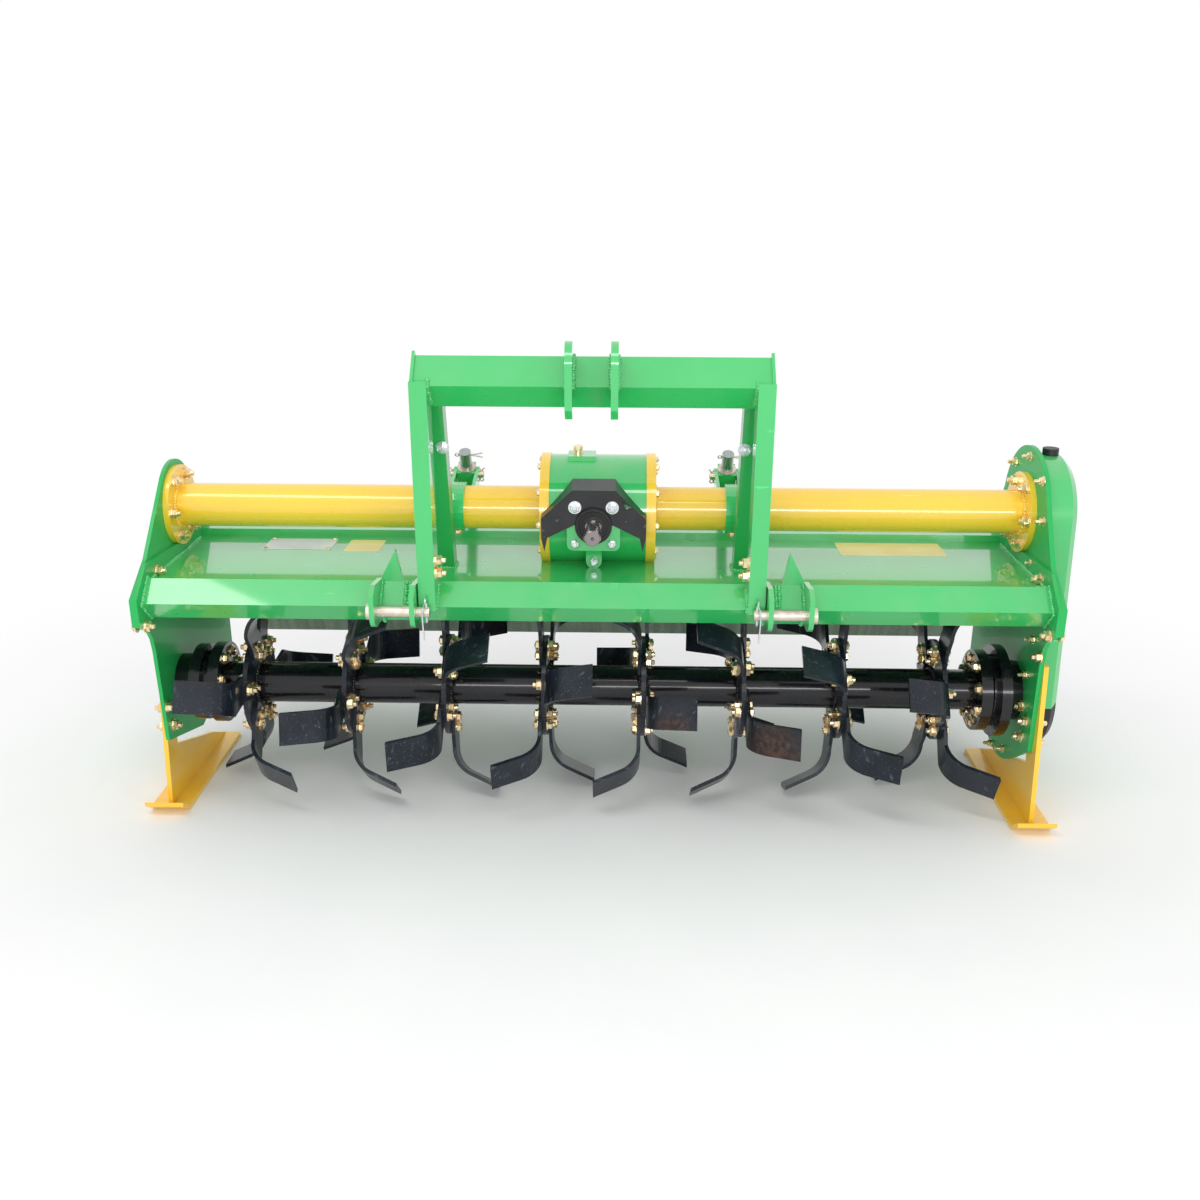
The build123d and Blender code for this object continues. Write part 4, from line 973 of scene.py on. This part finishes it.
def surface(node):
    """Search tree over a solid's faces."""
    if node not in surfaces:
        mesh = frame["nodes"][node].data
        corners = [v.co.copy() for v in mesh.vertices]
        surfaces[node] = BVHTree.FromPolygons(corners, [tuple(p.vertices) for p in mesh.polygons])
    return surfaces[node]


def seated(nodes, point, axis, reach=USUAL_REACH):
    """First surface of the nodes below this point, looking against the axis: (point, normal)."""
    start = point + axis * reach
    best = None
    for node in nodes:
        hit, normal, _, length = surface(node).ray_cast(start, -axis, 3 * reach)
        if hit is not None and (best is None or length < best[2]):
            best = (hit, normal if normal.dot(axis) > 0 else -normal, length)
    if best is None:
        raise RuntimeError("nothing under " + str(tuple(point)) + " on " + ", ".join(nodes))
    return best[0], best[1]


def flat_seat(nodes, point, axis, reach=USUAL_REACH):
    """Like seated, for a fastener that stands along the axis whatever the surface does."""
    return seated(nodes, point, axis, reach)[0], axis


def flange_places():
    """X in millimetres of every tine flange."""
    return [middle_of(f"blade_set_{index + 1}") for index in range(TINE_FLANGES)]


def round_weld(x, y, z, radius, step):
    """Weld run round a tube across X, with a point every few degrees."""
    places = ring_places(x, y, z, radius + WELD_RISE, range(0, 361, step), X_AXIS)
    return [point for point, _ in places]


def inner_coupling(side):
    """Face of a rotor coupling that looks at the blades; a journal stands out beyond each coupling."""
    return outer_face("rotor_tube", side) - side * (JOURNAL + COUPLING)


class TILLER_OT_finishes(bpy.types.Operator):
    """Makes the finishes and gives every solid its own"""

    bl_idname = "tiller.finishes"
    bl_label = "Paint the solids"

    def execute(self, context):
        make_materials(context.scene.tiller_paints)
        for name, obj in frame["nodes"].items():
            finish = "blade" if name.startswith("blade_set") else NODE_FINISH.get(name, "green")
            if not obj.material_slots:
                obj.data.materials.append(None)
            for slot in obj.material_slots:
                slot.material = materials[finish]
        return {"FINISHED"}


class TILLER_OT_tube_bolts(bpy.types.Operator):
    """Adds the bolts of the axle tube's end flanges"""

    bl_idname = "tiller.tube_bolts"
    bl_label = "Axle tube bolts"

    def execute(self, context):
        nuts = []
        for side, word in SIDES:
            x = outer_face("axle_tube_" + word, side) - side * TUBE_FLANGE
            nuts += ring_places(x, TUBE_Y, TUBE_Z, TUBE_BOLT_CIRCLE, TUBE_BOLT_ANGLES, X_AXIS * -side)
        fasteners("tube_flange_nuts", nuts, "nut", "gold_zinc")
        x = outer_face("side_plate_left", -1)
        heads = ring_places(x, TUBE_Y, TUBE_Z, TUBE_BOLT_CIRCLE, TUBE_BOLT_ANGLES, -X_AXIS)
        fasteners("tube_flange_heads", heads, "bolt", "gold_zinc")
        return {"FINISHED"}


class TILLER_OT_gearbox_bolts(bpy.types.Operator):
    """Adds the bolts of the gearbox covers and of the input flange"""

    bl_idname = "tiller.gearbox_bolts"
    bl_label = "Gearbox bolts"

    def execute(self, context):
        places = []
        for side, word in SIDES:
            x = outer_face("gearbox_cover_" + word, side)
            places += ring_places(x, TUBE_Y, TUBE_Z, COVER_BOLT_CIRCLE, COVER_BOLT_ANGLES, X_AXIS * side)
        fasteners("gearbox_cover_bolts", places, "small", "gold_zinc")
        front = ("input_flange", "shaft_guard")
        for name, rise, kind in (
            ("guard_bolts", GUARD_BOLT_RISE, "bolt"),
            ("input_flange_bolts", FLANGE_BOLT_RISE, "plain"),
        ):
            spots = [at(side * FRONT_BOLT_X, FRONT_BOLT_Y, SHAFT_Z + rise) for side, _ in SIDES]
            fasteners(name, [flat_seat(front, spot, -Y_AXIS) for spot in spots], kind, "white_zinc")
        return {"FINISHED"}


class TILLER_OT_gearbox_plugs(bpy.types.Operator):
    """Adds the drain plug, the breather, the shaft seal, the shaft's turned end, and a black ring on it as
    painted shade in its centre hole
    """

    bl_idname = "tiller.gearbox_plugs"
    bl_label = "Gearbox plugs and seal"

    def execute(self, context):
        drain = flat_seat(("gearbox_body",), at(*DRAIN_PLUG), -Y_AXIS)
        fasteners("drain_plug", [drain], "plain", "white_zinc")
        foot = at(*BREATHER_XY, 0)
        foot.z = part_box("gearbox_body")[1].z - BREATHER_SINK
        bm = bmesh.new()
        turned(bm, foot, Z_AXIS, BREATHER, 24)
        deliver(from_bmesh("breather", bm, "gold_zinc", 40), "frame")
        bm = bmesh.new()
        turned(bm, at(0, front_face("input_flange"), SHAFT_Z), -Y_AXIS, SEAL, 64, closed=True)
        deliver(from_bmesh("seal_ring", bm, "rubber", 35), "frame")
        nose = at(0, front_face("input_shaft"), SHAFT_Z)
        bm = bmesh.new()
        turned(bm, nose + Y_AXIS * NOSE_SINK, -Y_AXIS, SHAFT_NOSE, 40)
        deliver(from_bmesh("shaft_nose", bm, "shaft", 35), "input_shaft")
        # black ring on the shaft's end: painted shade of its centre hole
        bm = bmesh.new()
        turned(bm, nose, -Y_AXIS, CENTRE_HOLE_SHADE, 24, closed=True)
        deliver(from_bmesh("shaft_centre_mark", bm, "rubber", 35), "input_shaft")
        return {"FINISHED"}


class TILLER_OT_case_bolts(bpy.types.Operator):
    """Adds the bolts of the gear case's plate, and the plugs on its cover"""

    bl_idname = "tiller.case_bolts"
    bl_label = "Gear case bolts"

    def execute(self, context):
        rows = (("gear_case_nuts", CASE_NUTS, "stud"), ("skid_nuts_right", SKID_NUTS_RIGHT, "nut"))
        for name, spots, kind in rows:
            places = [flat_seat(("gear_case_plate",), at(CASE_NUTS_X, *spot), -X_AXIS) for spot in spots]
            fasteners(name, places, kind, "gold_zinc")
        cover = ("gear_case_cover",)
        plugs = [seated(cover, at(*CASE_PLUGS_XY, z), Y_AXIS, CASE_PLUG_REACH) for z in CASE_PLUGS_Z]
        fasteners("gear_case_plugs", plugs, "large", "white_zinc")
        return {"FINISHED"}


class TILLER_OT_frame_bolts(bpy.types.Operator):
    """Adds the bolts that hold end plates, straps, struts and skids"""

    bl_idname = "tiller.frame_bolts"
    bl_label = "Frame bolts"

    def execute(self, context):
        nuts = []
        for side, word in SIDES:
            inward = X_AXIS * -side
            end = inner_face("end_plate_" + word, side)
            nuts += [(at(end, *place), inward) for place in (END_PLATE_UPPER, END_PLATE_LOWER)]
            leg = ("headstock_leg_" + word,)
            nuts += [flat_seat(leg, mirrored(side, *LEG_BOLTS_XY, z), inward) for z in LEG_BOLTS_Z]
        spots = [at(SKID_NUTS_LEFT_X, *place) for place in SKID_NUTS_LEFT]
        nuts += [flat_seat(("side_plate_left",), spot, X_AXIS) for spot in spots]
        fasteners("frame_nuts", nuts, "nut", "gold_zinc")
        left = outer_face("side_plate_left", -1)
        right = outer_face("gear_case_plate", 1)
        heads = [
            (at(left, *END_PLATE_LOWER), -X_AXIS),
            (at(right, *END_PLATE_LOWER), X_AXIS),
            (at(left, *END_PLATE_UPPER), -X_AXIS),
        ]
        fasteners("frame_bolt_heads", heads, "bolt", "gold_zinc")
        straps = []
        struts = []
        posts = []
        for side, word in SIDES:
            bracket = "rod_bracket_" + word
            straps.append(seated((bracket,), at(middle_of(bracket), *STRAP_BOLT_YZ), -Y_AXIS))
            strut = ("strut_" + word,)
            struts.append(seated(strut, mirrored(side, *STRUT_BOLT), -Y_AXIS, STRUT_BOLT_REACH))
            skid = "skid_" + word
            for z in SKID_POST_Z:
                point = at(outer_face(skid, side), SKID_POST_Y[word], z)
                posts.append(flat_seat((skid,), point, X_AXIS * side, SKID_BOLT_REACH))
        fasteners("strap_bolts", straps, "small", "gold_zinc")
        fasteners("strut_bolts", struts, "bolt", "white_zinc")
        fasteners("skid_bolts", posts, "nut", "gold_zinc")
        return {"FINISHED"}


class TILLER_OT_rotor_bolts(bpy.types.Operator):
    """Adds two bolts with nuts for every blade, and the bolts of the couplings"""

    bl_idname = "tiller.rotor_bolts"
    bl_label = "Rotor bolts"

    def execute(self, context):
        f = context.scene.tiller_fasteners
        heads = []
        nuts = []
        blade_face = TINE_FLANGE_HALF + BLADE_THICKNESS
        for index, x in enumerate(flange_places()):
            for blade in range(BLADES_PER_HAND):
                left = f.first_blade + index * f.flange_step + 2 * math.pi * blade / BLADES_PER_HAND
                for side, turn in ((-1, left), (1, left - HAND_OFFSET)):
                    for radius in BLADE_BOLT_RADII:
                        y = -radius * math.cos(turn)
                        z = -radius * math.sin(turn)
                        heads.append((at(x + side * blade_face, y, z), X_AXIS * side))
                        nuts.append((at(x - side * TINE_FLANGE_HALF, y, z), X_AXIS * -side))
        fasteners("blade_bolt_heads", heads, "bolt", "gold_zinc", "rotor")
        fasteners("blade_bolt_nuts", nuts, "nut", "gold_zinc", "rotor")
        ring = []
        for side, _ in SIDES:
            x = inner_coupling(side)
            ring += ring_places(x, 0, 0, COUPLING_BOLT_CIRCLE, COUPLING_BOLT_ANGLES, X_AXIS * -side)
        fasteners("coupling_bolts", ring, "bolt", "gold_zinc", "rotor")
        return {"FINISHED"}


class TILLER_OT_welds(bpy.types.Operator):
    """Lays the weld beads of frame, axle tube and rotor"""

    bl_idname = "tiller.welds"
    bl_label = "Weld beads"

    def execute(self, context):
        frame_runs = []
        tube_runs = []
        for side, word in SIDES:
            end = inner_face("end_plate_" + word, side)
            frame_runs.append([at(end, y, DECK_TOP) for y in range(*DECK_EDGE_Y, 12)])
            frame_runs.append([at(end, y, z) for y, z in BEAM_FRONT])
            frame_runs += [[mirrored(side, *place) for place in run] for run in SIDE_WELDS]
            flange = outer_face("axle_tube_" + word, side) - side * TUBE_FLANGE
            for x in (flange, outer_face("gearbox_cover_" + word, side)):
                tube_runs.append(round_weld(x, TUBE_Y, TUBE_Z, TUBE_RADIUS, 10))
        for start in DECK_STITCHES:
            frame_runs.append([at(start + step, -145, 286) for step in (0, 30, 60)])
        rotor_runs = []
        for x in flange_places():
            for side, _ in SIDES:
                face = x + side * (TINE_FLANGE_HALF + WELD_RISE)
                rotor_runs.append(round_weld(face, 0, 0, ROTOR_TUBE_RADIUS, 12))
        w = context.scene.tiller_welds
        for name, runs, finish, body, slot in (
            ("frame_welds", frame_runs, "green", "frame", "green_paint"),
            ("tube_welds", tube_runs, "yellow", "frame", "yellow_paint"),
            ("rotor_welds", rotor_runs, "black", "rotor", "black_paint"),
        ):
            values = {"Drop Radius": w.drop_radius, "Drop Pitch": w.drop_pitch, "Seed": 3}
            values["Material"] = materials[finish]
            grow(name, paths(runs), "weld", values, body, smooth=True)
        return {"FINISHED"}


class TILLER_OT_plates(bpy.types.Operator):
    """Adds the blank riveted plate and the blank labels on the deck"""

    bl_idname = "tiller.plates"
    bl_label = "Blank plates"

    def execute(self, context):
        p = context.scene.tiller_plates
        thickness = {"plate": p.plate_thickness, "label": p.label_thickness}
        for name, x_low, x_high, y_low, y_high, finish in PLATES:
            bm = bmesh.new()
            outline = rounded_rectangle(x_low, x_high, y_low, y_high, PLATE_CORNER)
            slab(bm, outline, Z_AXIS, thickness[finish] + PLATE_SINK * MM)
            deliver(from_bmesh(name, bm, finish), "frame")
        bm = bmesh.new()
        for x, y in PLATE_RIVETS:
            turned(bm, at(x, y, DECK_TOP), Z_AXIS, RIVET, 12)
        deliver(from_bmesh("plate_rivets", bm, "gold_zinc", 40), "frame")
        return {"FINISHED"}


class TILLER_OT_pins(bpy.types.Operator):
    """Adds linch pins, split pins and the pins through the tailboard's rods"""

    bl_idname = "tiller.pins"
    bl_label = "Pins and wires"

    def execute(self, context):
        for side, word in SIDES:
            bm = bmesh.new()
            linch_pin(bm, mirrored(side, *LINCH_PIN), side)
            deliver(from_bmesh("linch_pin_" + word, bm, "white_zinc", 40), "frame")
            body = "tail_rod_" + word
            pivot = Vector(joints["trunnion_" + word + "_hinge"]["pos_m"])
            bm = bmesh.new()
            split_pin(bm, pivot - rod_down * ROD_PIN_RISE, X_AXIS, rod_down, 0.0145, 0.024)
            turned(bm, pivot - rod_down * ROD_WASHER_RISE, -rod_down, ROD_WASHER, 28)
            deliver(from_bmesh("rod_pin_" + word, bm, "pin", 40), body)
            ends = bmesh.new()
            eyes = bmesh.new()
            for out in (-1, 1):
                outward = X_AXIS * out
                end = pivot + outward * TRUNNION_HALF
                turned(ends, end, outward, TRUNNION_PIN_END, 18)
                split_pin(ends, end + outward * 0.005, Z_AXIS, outward, 0.0082, 0.006)
                eye = at((pivot.x - middle_x) / MM + out * ROD_EYE_HALF, *ROD_EYE)
                turned(eyes, eye, outward, EYE_WASHER, 24)
                split_pin(eyes, eye, Y_AXIS, outward, 0.010)
            ends = from_bmesh("trunnion_pin_ends_" + word, ends, "pin", 40)
            deliver(ends, "trunnion_" + word)
            deliver(from_bmesh("rod_eye_pin_" + word, eyes, "gold_zinc", 40), body)
        return {"FINISHED"}


# ---- stage ------------------------------------------------------------------------
def floor_material():
    """Pale floor that keeps the shadow and fades to white far off and in reflections."""
    s = Shader("pale_floor")
    away = s.distance(Vector((middle_x, rotor_axis.y, 0))).step(*FLOOR_FADE)
    tint = s.mix(s.noise(3.0, 4.0).step(0.3, 0.7), (0.90, 0.90, 0.905, 1), (0.92, 0.92, 0.92, 1))
    matt = s.node("ShaderNodeBsdfPrincipled", None, {"Base Color": tint, "Roughness": 0.9})
    glow = s.node("ShaderNodeEmission", None, {"Color": (1, 1, 1, 1), "Strength": 1.0})
    return s.show(s.node("ShaderNodeMixShader", None, {0: s.looked_at() * away, 1: matt, 2: glow}))


def make_sky(strength):
    """Soft light all round that the camera and reflections see as white."""
    world = bpy.data.worlds.new("soft_white")
    world.use_nodes = True
    world.node_tree.nodes.clear()
    g = Graph(world.node_tree)
    inputs = {"Value": g.looked_at(), "To Min": strength, "To Max": 1.0}
    level = g.node("ShaderNodeMapRange", None, inputs, output="Result")
    background = g.node("ShaderNodeBackground", None, {"Color": (1, 1, 1, 1), "Strength": level})
    g.node("ShaderNodeOutputWorld", None, {"Surface": background})
    bpy.context.scene.world = world


def lamp(name, place, target, power, size):
    """Oblong soft lamp that looks at a point."""
    light = bpy.data.lights.new(name, "AREA")
    light.shape = "RECTANGLE"
    light.energy = power
    light.size, light.size_y = size
    holder = bpy.data.objects.new(name, light)
    holder.location = place
    holder.rotation_euler = (target - place).to_track_quat("-Z", "Y").to_euler()
    bpy.context.scene.collection.objects.link(holder)


def camera(s):
    """Camera at the place and angles of the stage settings."""
    data = bpy.data.cameras.new("camera")
    data.lens = s.lens
    data.sensor_width = 36.0
    holder = bpy.data.objects.new("camera", data)
    holder.location = at(0, 0, 0) + Vector(s.camera_place)
    yaw = Matrix.Rotation(s.camera_yaw, 3, "Z")
    pitch = Matrix.Rotation(math.pi / 2 - s.camera_pitch, 3, "X")
    roll = Matrix.Rotation(s.camera_roll, 3, "Z")
    holder.rotation_euler = (yaw @ pitch @ roll).to_euler()
    bpy.context.scene.collection.objects.link(holder)
    bpy.context.scene.camera = holder


class TILLER_OT_stage(bpy.types.Operator):
    """Adds the floor, the soft lamps, the sky and the camera"""

    bl_idname = "tiller.stage"
    bl_label = "Stage"

    def execute(self, context):
        s = context.scene.tiller_stage
        bm = bmesh.new()
        bmesh.ops.create_circle(bm, cap_ends=True, segments=96, radius=s.floor_radius)
        mesh = bpy.data.meshes.new("floor")
        bm.to_mesh(mesh)
        bm.free()
        floor = link("floor", mesh)
        mesh.materials.append(floor_material())
        make_sky(s.sky)
        middle = Vector((middle_x, rotor_axis.y, STAGE_HEIGHT))
        lamp("key_lamp", middle + KEY_PLACE, middle, s.key, KEY_SIZE)
        lamp("fill_lamp", middle + FILL_PLACE, middle, s.fill, FILL_SIZE)
        camera(s)
        context.scene.view_settings.view_transform = "Standard"
        return {"FINISHED"}


# ---- add-on -----------------------------------------------------------------------
OPERATORS = (
    TILLER_OT_finishes,
    TILLER_OT_tube_bolts,
    TILLER_OT_gearbox_bolts,
    TILLER_OT_gearbox_plugs,
    TILLER_OT_case_bolts,
    TILLER_OT_frame_bolts,
    TILLER_OT_rotor_bolts,
    TILLER_OT_welds,
    TILLER_OT_plates,
    TILLER_OT_pins,
    TILLER_OT_stage,
)
SETTINGS = {
    "tiller_paints": PaintSettings,
    "tiller_stage": StageSettings,
    "tiller_fasteners": FastenerSettings,
    "tiller_welds": WeldSettings,
    "tiller_plates": PlateSettings,
}


class TILLER_PT_sidebar(bpy.types.Panel):
    """Lists the steps and the sizes"""

    bl_label = "Rotary Tiller"
    bl_idname = "TILLER_PT_sidebar"
    bl_space_type = "VIEW_3D"
    bl_region_type = "UI"
    bl_category = "Tiller"

    def draw(self, context):
        for operator in OPERATORS:
            self.layout.operator(operator.bl_idname)
        for name, group in SETTINGS.items():
            box = self.layout.box()
            for label in group.__annotations__:
                box.prop(getattr(context.scene, name), label)


def register():
    for group in SETTINGS.values():
        bpy.utils.register_class(group)
    for name, group in SETTINGS.items():
        setattr(bpy.types.Scene, name, bpy.props.PointerProperty(type=group))
    for operator in OPERATORS:
        bpy.utils.register_class(operator)
    bpy.utils.register_class(TILLER_PT_sidebar)


def unregister():
    bpy.utils.unregister_class(TILLER_PT_sidebar)
    for operator in reversed(OPERATORS):
        bpy.utils.unregister_class(operator)
    for name in SETTINGS:
        delattr(bpy.types.Scene, name)
    for group in SETTINGS.values():
        bpy.utils.unregister_class(group)


def main():
    register()
    for operator in OPERATORS:
        step = operator.bl_idname.split(".")[1]
        if getattr(bpy.ops.tiller, step)() != {"FINISHED"}:
            raise RuntimeError(step + " did not finish")


if __name__ == "__main__":
    main()
